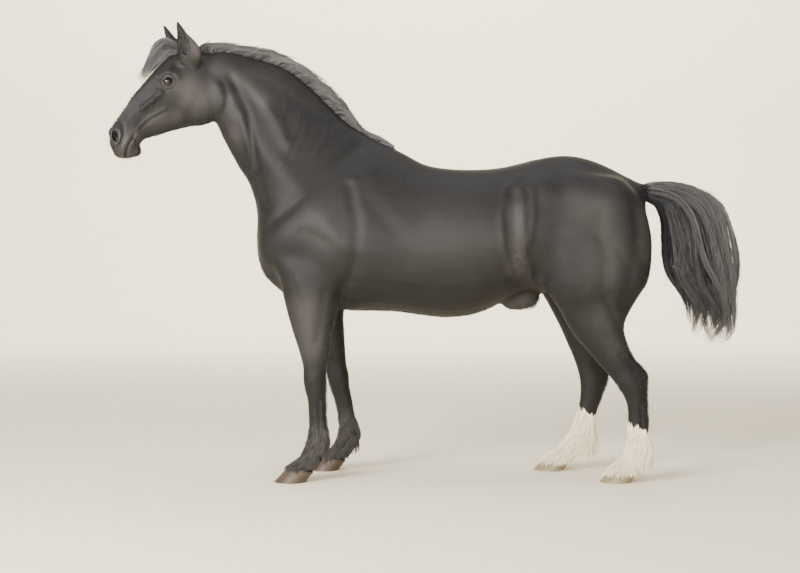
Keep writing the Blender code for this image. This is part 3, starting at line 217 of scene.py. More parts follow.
# A leg's slices also say how far their middle is from the middle of the horse.
THIGH = [
    (0.680, 1.610, 1.020, 1.580, 0.110, 0.0, 0.140),
    (0.600, 1.480, 1.130, 1.450, 0.158, 0.0, 0.155),
    (0.575, 1.300, 1.176, 1.290, 0.165, 0.0, 0.165),
    (0.580, 1.130, 1.178, 1.150, 0.160, 0.0, 0.175),
]
SHOULDER = [
    (-0.810, 1.160, -0.390, 1.100, 0.095, 0.0, 0.185),
    (-0.760, 1.050, -0.400, 1.020, 0.102, 0.0, 0.192),
]
LEGS = {
    "hindleg_left": THIGH + [
        (0.620, 1.000, 1.155, 1.040, 0.145, 0.0, 0.185),
        (0.684, 0.902, 1.103, 0.959, 0.122, 0.0, 0.190),
        (0.756, 0.773, 1.035, 0.830, 0.098, 0.0, 0.195),
        (0.834, 0.680, 1.041, 0.737, 0.076, 0.0, 0.200),
        (0.901, 0.602, 1.082, 0.644, 0.061, 0.0, 0.200),
        (0.958, 0.540, 1.154, 0.566, 0.053, 0.2, 0.200),
        (1.010, 0.473, 1.152, 0.499, 0.056, 0.1, 0.200),
        (1.043, 0.396, 1.152, 0.406, 0.050, 0.0, 0.200),
        (1.047, 0.323, 1.158, 0.323, 0.043, 0.0, 0.200),
        (1.046, 0.230, 1.162, 0.235, 0.046, 0.0, 0.200),
        (1.036, 0.165, 1.165, 0.160, 0.053, 0.0, 0.200),
        (1.010, 0.115, 1.125, 0.095, 0.046, 0.0, 0.200),
        (0.979, 0.083, 1.095, 0.050, 0.054, 0.0, 0.200),
        (0.955, 0.050, 1.085, 0.020, 0.050, 0.0, 0.200),
    ],
    "hindleg_right": THIGH + [
        (0.620, 1.000, 1.140, 1.030, 0.145, 0.0, 0.185),
        (0.665, 0.915, 1.090, 0.955, 0.122, 0.0, 0.190),
        (0.735, 0.780, 1.020, 0.830, 0.098, 0.0, 0.195),
        (0.775, 0.690, 1.000, 0.745, 0.078, 0.0, 0.200),
        (0.810, 0.610, 0.985, 0.660, 0.062, 0.0, 0.200),
        (0.835, 0.535, 1.010, 0.570, 0.053, 0.2, 0.200),
        (0.847, 0.470, 1.003, 0.490, 0.056, 0.1, 0.200),
        (0.847, 0.400, 0.972, 0.405, 0.050, 0.0, 0.200),
        (0.834, 0.330, 0.946, 0.325, 0.043, 0.0, 0.200),
        (0.810, 0.250, 0.928, 0.235, 0.046, 0.0, 0.200),
        (0.773, 0.180, 0.900, 0.160, 0.053, 0.0, 0.200),
        (0.725, 0.120, 0.840, 0.092, 0.046, 0.0, 0.200),
        (0.672, 0.083, 0.795, 0.050, 0.054, 0.0, 0.200),
        (0.650, 0.050, 0.785, 0.020, 0.050, 0.0, 0.200),
    ],
    "foreleg_left": SHOULDER + [
        (-0.738, 0.960, -0.430, 0.950, 0.098, 0.0, 0.195),
        (-0.719, 0.881, -0.453, 0.881, 0.088, 0.0, 0.197),
        (-0.693, 0.788, -0.479, 0.788, 0.074, 0.0, 0.198),
        (-0.660, 0.685, -0.494, 0.680, 0.061, 0.0, 0.198),
        (-0.638, 0.600, -0.508, 0.597, 0.053, 0.0, 0.198),
        (-0.636, 0.530, -0.512, 0.530, 0.057, 0.0, 0.197),
        (-0.628, 0.475, -0.513, 0.475, 0.053, 0.0, 0.196),
        (-0.614, 0.420, -0.513, 0.415, 0.046, 0.0, 0.195),
        (-0.609, 0.323, -0.511, 0.323, 0.041, 0.0, 0.195),
        (-0.612, 0.241, -0.503, 0.241, 0.044, 0.0, 0.195),
        (-0.631, 0.180, -0.500, 0.175, 0.052, 0.0, 0.195),
        (-0.655, 0.130, -0.545, 0.108, 0.045, 0.0, 0.195),
        (-0.705, 0.085, -0.585, 0.050, 0.055, 0.0, 0.195),
        (-0.730, 0.050, -0.600, 0.020, 0.050, 0.0, 0.195),
    ],
    "foreleg_right": SHOULDER + [
        (-0.710, 0.960, -0.400, 0.960, 0.098, 0.0, 0.195),
        (-0.676, 0.860, -0.437, 0.860, 0.085, 0.0, 0.197),
        (-0.627, 0.762, -0.434, 0.762, 0.072, 0.0, 0.198),
        (-0.583, 0.664, -0.428, 0.664, 0.060, 0.0, 0.198),
        (-0.549, 0.585, -0.422, 0.583, 0.053, 0.0, 0.198),
        (-0.533, 0.515, -0.408, 0.515, 0.057, 0.0, 0.197),
        (-0.515, 0.455, -0.405, 0.455, 0.052, 0.0, 0.196),
        (-0.491, 0.385, -0.391, 0.388, 0.045, 0.0, 0.195),
        (-0.475, 0.300, -0.377, 0.305, 0.041, 0.0, 0.195),
        (-0.468, 0.230, -0.359, 0.240, 0.044, 0.0, 0.195),
        (-0.481, 0.175, -0.350, 0.178, 0.052, 0.0, 0.195),
        (-0.508, 0.125, -0.395, 0.108, 0.045, 0.0, 0.195),
        (-0.552, 0.085, -0.432, 0.050, 0.055, 0.0, 0.195),
        (-0.575, 0.050, -0.448, 0.020, 0.050, 0.0, 0.195),
    ],
}
# Round masses fused to the flesh: middle, radii, and how far the first radius leans down at the
# front, in degrees.
MASSES = [
    ((-0.800, 0.110, 1.225), (0.085, 0.110, 0.130), 0),
    ((-1.180, 0.042, 1.985), (0.115, 0.038, 0.112), 40),
    ((-1.358, 0.062, 2.080), (0.054, 0.042, 0.042), 30),
    ((-1.622, 0.030, 1.800), (0.036, 0.026, 0.044), 60),
]
MIDDLE_MASSES = [
    ((-1.531, 0.0, 1.716), (0.043, 0.041, 0.036), 0),
    ((0.505, 0.0, 0.936), (0.105, 0.052, 0.056), 8),
    ((1.165, 0.0, 1.506), (0.085, 0.038, 0.048), 0),
]
# Strokes model the surface. Each one is drawn on the side view as the (x, z) points of its line,
# with its width and how far it raises the surface, and it is laid on both flanks.
STROKES = [
    ([(-0.39, 1.52), (-0.355, 1.36), (-0.352, 1.20), (-0.385, 1.06), (-0.43, 0.98)], 0.035, -0.016),
    ([(-0.50, 1.16), (-0.46, 1.24)], 0.120, 0.022),
    ([(-0.33, 1.60), (-0.55, 1.38), (-0.74, 1.24)], 0.100, 0.018),
    ([(-0.36, 1.74), (-0.60, 1.50), (-0.80, 1.34)], 0.035, -0.012),
    ([(-0.10, 1.30), (0.20, 1.28)], 0.250, 0.010),
    ([(0.425, 1.46), (0.42, 1.32)], 0.045, -0.010),
    ([(0.41, 1.22), (0.43, 1.10), (0.50, 1.00)], 0.040, -0.009),
    ([(0.485, 1.52), (0.492, 1.34), (0.50, 1.18), (0.55, 1.06), (0.62, 0.98)], 0.024, 0.010),
    ([(0.60, 1.54), (0.62, 1.52)], 0.070, 0.016),
    ([(0.76, 1.56), (0.95, 1.47)], 0.110, 0.016),
    ([(1.06, 1.47), (1.09, 1.30), (1.06, 1.10), (1.02, 0.92)], 0.035, -0.009),
    ([(0.72, 1.25), (0.74, 1.05)], 0.110, 0.014),
    ([(0.88, 1.36), (0.92, 1.15), (0.90, 0.98)], 0.040, -0.006),
    ([(0.70, 0.93), (0.71, 0.92)], 0.050, 0.008),
    ([(-1.02, 1.84), (-0.93, 1.62), (-0.84, 1.42)], 0.026, -0.010),
    ([(-1.05, 1.98), (-0.86, 1.72), (-0.66, 1.52)], 0.070, 0.011),
    ([(-1.10, 2.17), (-0.80, 2.06), (-0.50, 1.86)], 0.040, -0.006),
    ([(-1.395, 2.005), (-1.49, 1.930)], 0.016, 0.006),
    ([(-1.325, 2.143), (-1.312, 2.148)], 0.024, -0.008),
    ([(-1.600, 1.870), (-1.560, 1.930)], 0.020, -0.005),
    ([(-1.072, 2.062), (-1.052, 2.007), (-1.057, 1.955), (-1.075, 1.900)], 0.018, -0.010),
    ([(-1.500, 1.860), (-1.450, 1.900)], 0.030, -0.005),
    ([(1.020, 0.520), (1.030, 0.500)], 0.035, 0.005),
    ([(1.075, 0.640), (1.120, 0.570)], 0.014, -0.005),
    ([(1.010, 0.660), (1.075, 0.600)], 0.020, -0.007),
]
# Strokes along the middle, or round the front and rear, as (x, y, z) points.
DEEP_STROKES = [
    ([(-0.90, 0.0, 1.34), (-0.88, 0.0, 1.20), (-0.82, 0.0, 1.05)], 0.035, -0.022),
    ([(0.62, 0.0, 1.70), (0.85, 0.0, 1.69), (1.05, 0.0, 1.61)], 0.035, -0.010),
    ([(1.15, 0.0, 1.42), (1.16, 0.0, 1.25), (1.10, 0.0, 1.05)], 0.045, -0.020),
    ([(-1.05, 0.0, 1.81), (-0.97, 0.0, 1.62)], 0.030, 0.006),
]
# Finer strokes that only the skin carries, on the face: folds round the eye, the hollow above it, the
# ridge of the cheek, veins, the rim of the nostril and the lips
FACE_STROKES = [
    ([(-1.396, 2.061), (-1.378, 2.100), (-1.351, 2.102), (-1.329, 2.079)], 0.0055, 0.0038),
    ([(-1.403, 2.090), (-1.376, 2.113), (-1.345, 2.112), (-1.321, 2.091)], 0.0055, -0.0026),
    ([(-1.396, 2.053), (-1.373, 2.037), (-1.348, 2.040), (-1.329, 2.059)], 0.0060, 0.0032),
    ([(-1.393, 2.036), (-1.368, 2.026), (-1.343, 2.031)], 0.0055, -0.0022),
    ([(-1.399, 2.056), (-1.415, 2.034)], 0.0060, -0.0032),
    ([(-1.396, 2.108), (-1.360, 2.122), (-1.323, 2.108), (-1.306, 2.090)], 0.0140, 0.0060),
    ([(-1.318, 2.152), (-1.292, 2.142)], 0.0190, -0.0080),
    ([(-1.322, 2.096), (-1.247, 2.143), (-1.213, 2.166)], 0.0110, 0.0050),
    ([(-1.400, 2.018), (-1.440, 1.977), (-1.490, 1.935)], 0.0140, 0.0060),
    ([(-1.375, 1.930), (-1.400, 1.917), (-1.451, 1.889), (-1.485, 1.860), (-1.507, 1.832)], 0.0090, 0.0045),
    ([(-1.380, 1.912), (-1.450, 1.873), (-1.500, 1.830)], 0.0100, -0.0032),
    ([(-1.502, 1.923), (-1.441, 1.920)], 0.0050, 0.0022),
    ([(-1.421, 2.037), (-1.434, 1.975), (-1.441, 1.935)], 0.0050, 0.0030),
    ([(-1.400, 2.100), (-1.470, 2.020), (-1.530, 1.950)], 0.0200, -0.0035),
    ([(-1.225, 2.070), (-1.235, 1.975)], 0.0600, 0.0060),
    ([(-1.290, 1.985), (-1.330, 1.900)], 0.0350, -0.0050),
    ([(-1.100, 2.050), (-1.085, 2.000), (-1.092, 1.945)], 0.0280, 0.0080),
    ([(-1.645, 1.822), (-1.625, 1.832), (-1.606, 1.822), (-1.600, 1.795), (-1.607, 1.765),
      (-1.618, 1.745)], 0.0065, 0.0046),
    ([(-1.588, 1.850), (-1.583, 1.800), (-1.597, 1.755)], 0.0090, -0.0036),
    ([(-1.556, 1.785), (-1.572, 1.760), (-1.584, 1.735), (-1.592, 1.705)], 0.0080, 0.0042),
    ([(-1.535, 1.765), (-1.548, 1.735), (-1.556, 1.705)], 0.0090, 0.0036),
    ([(-1.528, 1.800), (-1.536, 1.786)], 0.0070, -0.0036),
    ([(-1.512, 1.770), (-1.518, 1.735), (-1.530, 1.705)], 0.0080, -0.0030),
]
# Muscles, folds and veins of the neck, body and legs, finer than the solids'
BODY_STROKES = [
    ([(-1.115, 2.150), (-0.991, 2.120), (-0.917, 2.056), (-0.843, 1.977), (-0.775, 1.880),
      (-0.720, 1.760)], 0.032, 0.010),
    ([(-1.052, 2.050), (-1.020, 1.961), (-0.975, 1.890), (-0.938, 1.749), (-0.915, 1.620)], 0.022, 0.007),
    ([(-1.035, 2.109), (-0.991, 2.014), (-0.938, 1.910), (-0.912, 1.781), (-0.885, 1.620)], 0.022, -0.010),
    ([(-0.737, 2.019), (-0.721, 1.956), (-0.747, 1.876)], 0.011, 0.0034),
    ([(-0.647, 1.929), (-0.662, 1.834), (-0.705, 1.728), (-0.747, 1.659)], 0.011, 0.0034),
    ([(-0.615, 1.876), (-0.636, 1.781), (-0.684, 1.685)], 0.010, 0.0030),
    ([(-0.503, 1.887), (-0.519, 1.791), (-0.572, 1.707)], 0.011, 0.0032),
    ([(-0.62, 1.30), (-0.50, 1.24), (-0.42, 1.16)], 0.030, -0.006),
    ([(-0.60, 1.44), (-0.50, 1.34), (-0.44, 1.22)], 0.060, 0.008),
    ([(-0.66, 1.05), (-0.60, 0.90), (-0.58, 0.76)], 0.014, 0.004),
    ([(-0.390, 1.55), (-0.355, 1.36), (-0.352, 1.20)], 0.045, 0.009),
    ([(-0.52, 0.98), (-0.535, 0.85), (-0.56, 0.72)], 0.022, -0.006),
    ([(-0.20, 1.06), (0.05, 1.02), (0.28, 1.05)], 0.014, 0.003),
    ([(0.485, 1.575), (0.410, 1.520), (0.385, 1.380), (0.395, 1.220), (0.440, 1.080)], 0.020, 0.009),
    ([(0.485, 1.575), (0.545, 1.510), (0.548, 1.380), (0.530, 1.240)], 0.018, 0.006),
    ([(0.465, 1.480), (0.462, 1.340), (0.465, 1.200)], 0.030, -0.009),
    ([(0.78, 1.02), (0.84, 0.88), (0.91, 0.76)], 0.014, 0.004),
    ([(0.92, 0.96), (0.98, 0.84), (1.04, 0.74)], 0.024, -0.007),
    ([(0.84, 1.30), (0.98, 1.20), (1.04, 1.10)], 0.034, -0.005),
    ([(0.66, 1.30), (0.74, 1.18), (0.80, 1.02)], 0.036, -0.005),
    ([(-0.30, 1.46), (-0.16, 1.30), (-0.08, 1.14)], 0.050, -0.005),
]
# Down each cannon bone: how far across the leg a line runs, its width and rise, and its heights
TENDONS = [(0.62, 0.0075, -0.0050, 0.46, 0.22), (0.80, 0.0085, 0.0040, 0.46, 0.20)]
# Painted highlights: where the coat is painted a lighter, browner tone for the light that falls on it, as
# lines with their width and amount
PAINTED_HIGHLIGHTS = [
    ([(-1.245, 2.030), (-1.205, 2.010)], 0.085, 1.0),
    ([(-1.330, 1.900), (-1.440, 1.870)], 0.045, 0.5),
    ([(-1.205, 2.230), (-1.235, 2.330)], 0.038, 1.6),
    ([(-1.100, 2.150), (-0.960, 2.090), (-0.850, 1.980)], 0.045, 0.6),
    ([(-1.030, 1.980), (-0.990, 1.800)], 0.050, 0.5),
    ([(-0.520, 1.370), (-0.440, 1.300)], 0.120, 0.4),
    ([(0.030, 1.300), (0.400, 1.250)], 0.180, 0.3),
    ([(0.450, 1.400), (0.470, 1.120)], 0.060, 0.6),
    ([(0.900, 1.400), (0.930, 1.150)], 0.130, 0.5),
    ([(1.130, 1.400), (1.140, 1.180)], 0.060, 0.5),
    ([(-0.610, 0.900), (-0.590, 0.700)], 0.080, 0.7),
    ([(0.900, 0.850), (0.980, 0.720)], 0.070, 0.4),
    ([(-0.400, 0.260), (-0.580, 0.200)], 0.070, 0.7),
]
# Where the hair is thin: lines on the side view and their width, and the line of the sheath
BARE = [(MOUTH, 0.045), ([NOSTRIL, NOSTRIL], 0.034), ([EYE, EYE], 0.032)]
SHEATH, SHEATH_BARE = [(0.42, 0.0, 0.90), (0.52, 0.0, 0.93)], 0.07
# White markings: the blaze and the snip as lines down the face, and the slanting tops of the socks
BLAZE = [(-1.350, 0.0, 2.222), (-1.430, 0.0, 2.150), (-1.560, 0.0, 1.995), (-1.645, 0.0, 1.872)]
BLAZE_HALF = 0.029
SNIP = [(-1.652, 0.0, 1.856), (-1.667, 0.004, 1.812), (-1.664, 0.0, 1.780)]
SNIP_HALF = 0.030
SOCK_OVERHANG = 0.012
SOCKS = {"left": (0.305, 1.050, 0.45), "right": (0.338, 0.845, 0.55)}

# The three corners of a strand
STRAND_SIDES = np.array([(-1.0, -0.5), (1.0, -0.5), (0.0, 1.0)])
# Rings of locks, each with its share of the sheaf's width and its number of locks
TAIL_RINGS = {"tail_outer": ([(0.98, 34)], 44), "tail_inner": ([(0.86, 28), (0.66, 20), (0.42, 10)], 30)}
TAIL_WAVES = 2.2
FORELOCK_RINGS = [(0.98, 24), (0.70, 16), (0.35, 8)]
FORELOCK_STRANDS = 18
# How high the roll of the mane stands over the crest, from the poll back to the tuft at the withers
MANE_RISES = [(-1.19, 0.020), (-1.076, 0.028), (-0.925, 0.033), (-0.676, 0.038), (-0.56, 0.048),
              (-0.45, 0.050), (-0.40, 0.034), (-0.345, 0.014), (-0.30, 0.002), (-0.25, 0.004),
              (-0.19, 0.003), (-0.12, 0.000)]
MANE_HALF = 0.030
MANE_FALL = 0.33
# Locks of the mane: how deep they lie in the roll and how far back they sweep. Then, by angles round
# the roll, where near ones start and end, and where far ones do, and how far loose locks stand off
MANE_LAYERS, MANE_SWEEP = (0.70, 1.08), (0.10, 0.19)
MANE_NEAR_EDGE, MANE_NEAR_ENDS = -1.35, (-0.9, 0.3)
MANE_FAR_STARTS, MANE_FAR_EDGE = (-1.3, 0.4), 1.3
MANE_LOOSE = 0.030
# Locks, strands in each, points of a guide, and how far along the crest the last lock starts
MANE_LOCKS = {"mane": (125, 24, 11, 0.80), "mane_near": (150, 22, 9, 0.97)}
# How wide the locks are along the crest
MANE_SIZES = [(-0.46, 1.0), (-0.34, 0.5), (-0.14, 0.25)]
# How sheaves grow: how far along the roots the last lock starts, the points of a guide, how far it
# sways, how wide the locks stand at the roots, and how much shorter the shortest one is
SHEAVES = {
    "tail": {"latest": 0.42, "steps": 16, "sway": 0.040, "collar": 0.041, "shortest": 0.24},
    "forelock": {"latest": 0.10, "steps": 11, "sway": 0.0, "collar": 0.020, "shortest": 0.40},
}
SHEAF_WAVE = 0.30
# How strands lie in their lock: how far they spread across and out, how much shorter the shortest is,
# how far they wave, and how far they close at the tip
LOCKS = {
    "tail": {"spread": (0.021, 0.010), "short": 0.32, "wave": 0.0070, "closing": 0.80},
    "forelock": {"spread": (0.014, 0.009), "short": 0.30, "wave": 0.0040, "closing": 0.75},
    "mane": {"spread": (0.012, 0.006), "short": 0.60, "wave": 0.0085, "closing": 0.62},
    "feather": {"spread": (0.013, 0.004), "short": 0.20, "wave": 0.0030, "closing": 0.30},
}
LOCK_WAVES = 3.0
# Half the width of a strand, and its thickness
STRANDS = {"tail": (0.0015, 0.0009), "forelock": (0.0013, 0.0008), "mane": (0.0012, 0.0008),
           "feather": (0.0016, 0.0006), "face": (0.0005, 0.0004)}
# Shades of strands: how much they differ within a lock, a gain, how much lighter the strands that face the
# light from behind and above are painted, and what is added to all, which on the tail paints the strands
# that face away darker
SHADES = {"tail": (0.4, 0.65, 0.9, -0.25), "forelock": (0.35, 1.0, 0.0, 0.0),
          "mane": (0.25, 0.95, 0.0, 0.0), "feather": (0.6, 1.0, 0.0, 0.0)}
# Where the painted light on the hair comes from: behind and above
LIGHT_FROM = np.array([0.7, 0.0, 0.7])
# How deep in the skin roots start
ROOT_DEPTH = 0.004
# Feather: rows of locks down the leg from one height to another, locks round it, strands in a lock,
# their length, how far they stand out behind, and the lowest height that they reach behind
FEATHER = {
    "hind": (0.325, 0.135, 8, 26, 13, 0.165, 0.034, 0.036),
    "fore": (0.270, 0.150, 5, 20, 12, 0.090, 0.006, 0.070),
}
FEATHER_STEPS = 7
# The fringe over the coronet: its roots, its rows, how low it hangs over the hoof and how far off it
FRINGE = {"hind": (0.130, 4, 0.020, 0.016), "fore": (0.125, 3, 0.050, 0.008)}
UV_PATCH = 0.003
# Fine hair of the face: the middle (x, z) of a patch on the side view, its half size, how many hairs
# it has on each side, their length, and the way they are drawn
FACE_HAIR = [
    ((-1.585, 1.725), (0.040, 0.040), 40, 0.034, (-0.1, 0.2, -0.6)),
    ((-1.530, 1.715), (0.030, 0.030), 34, 0.038, (0.1, 0.2, -0.7)),
    ((-1.640, 1.760), (0.020, 0.030), 16, 0.026, (-0.5, 0.2, -0.5)),
    ((-1.375, 2.025), (0.040, 0.012), 9, 0.034, (-0.2, 0.6, -0.4)),
    ((-1.300, 2.250), (0.026, 0.040), 70, 0.034, (-0.25, 0.25, 0.75)),
    ((-1.312, 2.300), (0.020, 0.035), 50, 0.026, (-0.20, 0.20, 0.80)),
]
# The steps along each fine hair, and the lashes: from where to where along the lid, how many, how long
FACE_STEPS = np.linspace(0, 1, 5)
LASHES = (-0.75, 0.85, 46)
LASH = 0.017
# Short fur: the hairs of a tuft (how far aside, how they fan, how long), the rings of one hair (how
# far along, how high, how wide), and the height of its tip, all for a tuft one metre long
TUFT_HAIRS = [(-0.10, -0.16, 0.80), (0.01, 0.03, 1.0), (0.12, 0.19, 0.88)]
TUFT_RINGS = [(0.0, -0.05, 0.030), (0.45, 0.08, 0.024)]
TUFT_TIP = 0.05
TUFT_FLAT = 0.3
TUFT_UNEVEN, TUFT_STRAY = 0.25, 0.25
# How long tufts grow away from the lines below, and how far they stand
FUR_LONG = {"face": 0.009, "feet": 0.013, "body": 0.019}
FUR_STAND = 0.04
# The way hair lies
LIES = {
    "body": np.array([0.90, 0.0, -0.35]),
    "neck": np.array([0.60, 0.0, -0.80]),
    "face": np.array([-0.60, 0.0, -0.80]),
    "ear": np.array([0.0, 0.0, 1.0]),
    "leg": np.array([0.12, 0.0, -1.0]),
}
# Under this height is the zone of the legs, and ahead of this place that of the front
LEG_FUR_TOP, FRONT_END = 1.02, -0.62
# The most tufts to a square metre in each zone
FUR_MOST = {"front": 24000, "rear": 24000, "legs": 15000}
# Lines along which the fur breaks the form, as (x, distance from the middle, z): their width, how
# thick and long the tufts grow there, and how far they stand
FUR_LINES = [
    ([(-1.52, 0.0, 1.74), (-1.30, 0.03, 1.84), (-1.13, 0.05, 1.90), (-1.02, 0.0, 1.74)],
     0.035, 0.5, 0.017, 0.15),
    ([(-0.97, 0.0, 1.62), (-0.90, 0.0, 1.30), (-0.84, 0.05, 1.06)], 0.060, 0.6, 0.024, 0.12),
    ([(-0.70, 0.0, 0.95), (-0.20, 0.0, 0.88), (0.42, 0.0, 0.92)], 0.090, 0.7, 0.026, 0.12),
    ([(-0.39, 0.20, 1.12), (-0.42, 0.20, 0.98)], 0.045, 0.7, 0.028, 0.12),
    ([(-0.44, 0.20, 0.94), (-0.50, 0.20, 0.62)], 0.040, 0.9, 0.024, 0.18),
    ([(-0.505, 0.20, 0.52), (-0.500, 0.20, 0.28)], 0.035, 1.0, 0.034, 0.20),
    ([(0.48, 0.26, 1.20), (0.56, 0.24, 1.02), (0.64, 0.20, 0.98)], 0.035, 0.6, 0.022, 0.10),
    ([(1.13, 0.06, 1.44), (1.17, 0.14, 1.20), (1.12, 0.18, 0.98)], 0.045, 0.6, 0.022, 0.10),
    ([(1.02, 0.20, 0.74), (1.10, 0.20, 0.62), (1.14, 0.20, 0.50), (1.15, 0.20, 0.32)],
     0.040, 1.0, 0.030, 0.20),
    ([(0.98, 0.20, 0.66), (1.00, 0.20, 0.52), (0.96, 0.20, 0.38)], 0.040, 0.9, 0.028, 0.20),
    ([(0.44, 0.0, 0.90), (0.64, 0.0, 0.92)], 0.060, 1.0, 0.030, 0.25),
    ([(1.16, 0.0, 1.55), (1.24, 0.0, 1.55)], 0.050, 1.0, 0.028, 0.12),
]
# The horn stands out past the coronet, and its sole lies inside the solid's by the inset
CORONET_RIM = 0.004
HORN_INSET = 0.001
SOLE_EDGE = math.radians(50)


def ring(row, side, count):
    """Points round one slice, on an ellipse that is wider at one edge."""
    ax, az, bx, bz, half, taper = row[:6]
    depth = row[6] * side if len(row) > 6 else 0.0
    points = []
    for i in range(count):
        angle = 2 * math.pi * i / count
        up, out = math.sin(angle), math.cos(angle)
        share = (1 + up) / 2
        across = depth + half * (1 + taper * up) * out
        points.append((bx + (ax - bx) * share, across, bz + (az - bz) * share))
    return points


def eased(rows, between):
    """Rows of numbers with smooth rows put between them, on a Catmull-Rom curve."""
    rows = np.array(rows, float)
    ends = np.vstack([2 * rows[0] - rows[1], rows, 2 * rows[-1] - rows[-2]])
    out = []
    for i in range(1, len(ends) - 2):
        a, b, c, d = ends[i - 1 : i + 3]
        for t in np.arange(between) / between:
            straight = 2 * b + (c - a) * t
            bend = (2 * a - 5 * b + 4 * c - d) * t**2
            out.append(0.5 * (straight + bend + (3 * b - a - 3 * c + d) * t**3))
    return np.vstack(out + [rows[-1]])


def closed(shape, rings):
    """Joins rings with the same number of corners to one closed form."""
    count = len(rings[0])
    for one, two in zip(rings, rings[1:]):
        for i in range(count):
            j = (i + 1) % count
            shape.faces.new((one[i], one[j], two[j], two[i]))
    shape.faces.new(rings[0])
    shape.faces.new(rings[-1])
    bmesh.ops.recalc_face_normals(shape, faces=shape.faces)
    return shape


def loft(slices, side=1, count=40, between=5):
    """A closed shape through the slices."""
    shape = bmesh.new()
    rings = []
    for row in eased(slices, between):
        rings.append([shape.verts.new(p) for p in ring(row, side, count)])
    return closed(shape, rings)


def sphere(radius, sides, rings, place):
    shape = bmesh.new()
    bmesh.ops.create_uvsphere(shape, u_segments=sides, v_segments=rings, radius=radius, matrix=place)
    return shape


def blob(middle, radii, lean, side=1, sides=24):
    """An ellipsoid whose first radius leans down towards the front."""
    x, y, z = middle
    place = Matrix.Translation((x, y * side, z)) @ Matrix.Rotation(math.radians(-lean), 4, "Y")
    return sphere(1.0, sides, sides * 2 // 3, place @ Matrix.Diagonal((*radii, 1.0)))


def linked(name, data):
    """A new object in the scene that shows the data."""
    obj = bpy.data.objects.new(name, data)
    bpy.context.scene.collection.objects.link(obj)
    return obj


def as_object(name, shape):
    mesh = bpy.data.meshes.new(name)
    shape.to_mesh(mesh)
    shape.free()
    return linked(name, mesh)


def joined(name, shapes):
    """Several shapes in one object, not yet fused."""
    whole = bmesh.new()
    for shape in shapes:
        part = bpy.data.meshes.new("part")
        shape.to_mesh(part)
        shape.free()
        whole.from_mesh(part)
        bpy.data.meshes.remove(part)
    return as_object(name, whole)


def apply_modifiers(obj):
    """Makes the object's mesh what its modifiers show."""
    graph = bpy.context.evaluated_depsgraph_get()
    mesh = bpy.data.meshes.new_from_object(obj.evaluated_get(graph))
    old = obj.data
    obj.modifiers.clear()
    obj.data = mesh
    bpy.data.meshes.remove(old)
    return obj


def layer_values(layer, key, size=1, kind=np.float32):
    """What each item of a layer holds: one number, or a row of as many as size says."""
    values = np.empty(len(layer) * size, kind)
    layer.foreach_get(key, values)
    return values.reshape(-1, size) if size > 1 else values


def read_points(mesh):
    return layer_values(mesh.vertices, "co", 3, float)


def normals_of(mesh):
    return layer_values(mesh.vertices, "normal", 3, float)


def write_points(mesh, points):
    mesh.vertices.foreach_set("co", points.ravel())
    mesh.update()


def relaxed(obj, rounds, steps=(0.55, -0.57), where=None):
    """Smooths by steps in and out, which don't shrink it, or only in, which melts its creases."""
    mesh = obj.data
    points = read_points(mesh)
    count = len(points)
    share = 1.0 if where is None else where(points)[:, None]
    a, b = layer_values(mesh.edges, "vertices", 2, np.int32).T
    near = np.bincount(a, minlength=count) + np.bincount(b, minlength=count)
    for step in steps * rounds:
        sums = [np.bincount(a, points[b, k], count) + np.bincount(b, points[a, k], count)
                for k in range(3)]
        points += share * step * (np.stack(sums, axis=1) / near[:, None] - points)
    write_points(mesh, points)
    return obj


def thick_flesh(points):
    """1 on the barrel, shoulders and quarters and at the poll, where creases melt, to 0 elsewhere."""
    x, z = points[:, 0], points[:, 2]
    body = np.clip((z - THICK_Z) / 0.14, 0, 1) * np.clip((x - THICK_X) / 0.12, 0, 1)
    return np.maximum(body * (1 - spot(x, z, DOCK_ROOT, DOCK_SPREAD)), spot(x, z, POLL, POLL_SPREAD))


def spot(x, z, middle, spread):
    """1 at a place of the side view, falling softly to 0 round it."""
    return np.exp(-(((x - middle[0]) / spread[0]) ** 2) - ((z - middle[1]) / spread[1]) ** 2)


def near_line(points, line):
    """How far each point is from a line of straight pieces."""
    line = np.array(line, float)
    best = np.full(len(points), np.inf)
    for a, b in zip(line, line[1:]):
        along = b - a
        t = np.clip((points - a) @ along / max(along @ along, 1e-9), 0, 1)
        best = np.minimum(best, np.linalg.norm(points - a - t[:, None] * along, axis=1))
    return best


def fade(points, line, width):
    """1 on a line, falling softly to 0 beyond its width."""
    return np.exp(-((near_line(points, line) / width) ** 2))


def side_view(points):
    return points[:, [0, 2]]


def turn_at(x):
    """How far the neck has turned to the left at x."""
    t = np.clip((TURN_STARTS_X - x) / (TURN_STARTS_X - TURN_ENDS_X), 0, 1)
    return HEAD_TURN * t * t * (3 - 2 * t)


def turned(points):
    """Points of the straight horse, as they lie once its head is turned to the left."""
    points = np.atleast_2d(np.array(points, float))
    xs = np.linspace(TURN_STARTS_X, TURN_ENDS_X, 60)
    step = xs[0] - xs[1]
    middle = turn_at((xs[1:] + xs[:-1]) / 2)
    line_x = np.append(xs[0], xs[0] - np.cumsum(np.cos(middle)) * step)
    line_y = np.append(0.0, -np.cumsum(np.sin(middle)) * step)
    x, angle = points[:, 0], turn_at(points[:, 0])
    beyond = np.minimum(x - TURN_ENDS_X, 0)
    before = np.maximum(x - TURN_STARTS_X, 0)
    on_x = np.interp(-x, -xs, line_x) + beyond * math.cos(HEAD_TURN) + before
    on_y = np.interp(-x, -xs, line_y) + beyond * math.sin(HEAD_TURN)
    y = points[:, 1]
    return np.stack(
        [on_x - y * np.sin(angle), on_y + y * np.cos(angle), points[:, 2]], axis=1
    )


def edited(obj, edit):
    """Runs an edit on the object's mesh."""
    shape = bmesh.new()
    shape.from_mesh(obj.data)
    edit(shape)
    shape.to_mesh(obj.data)
    shape.free()
    return obj


def triangulated(shape):
    bmesh.ops.triangulate(shape, faces=shape.faces)


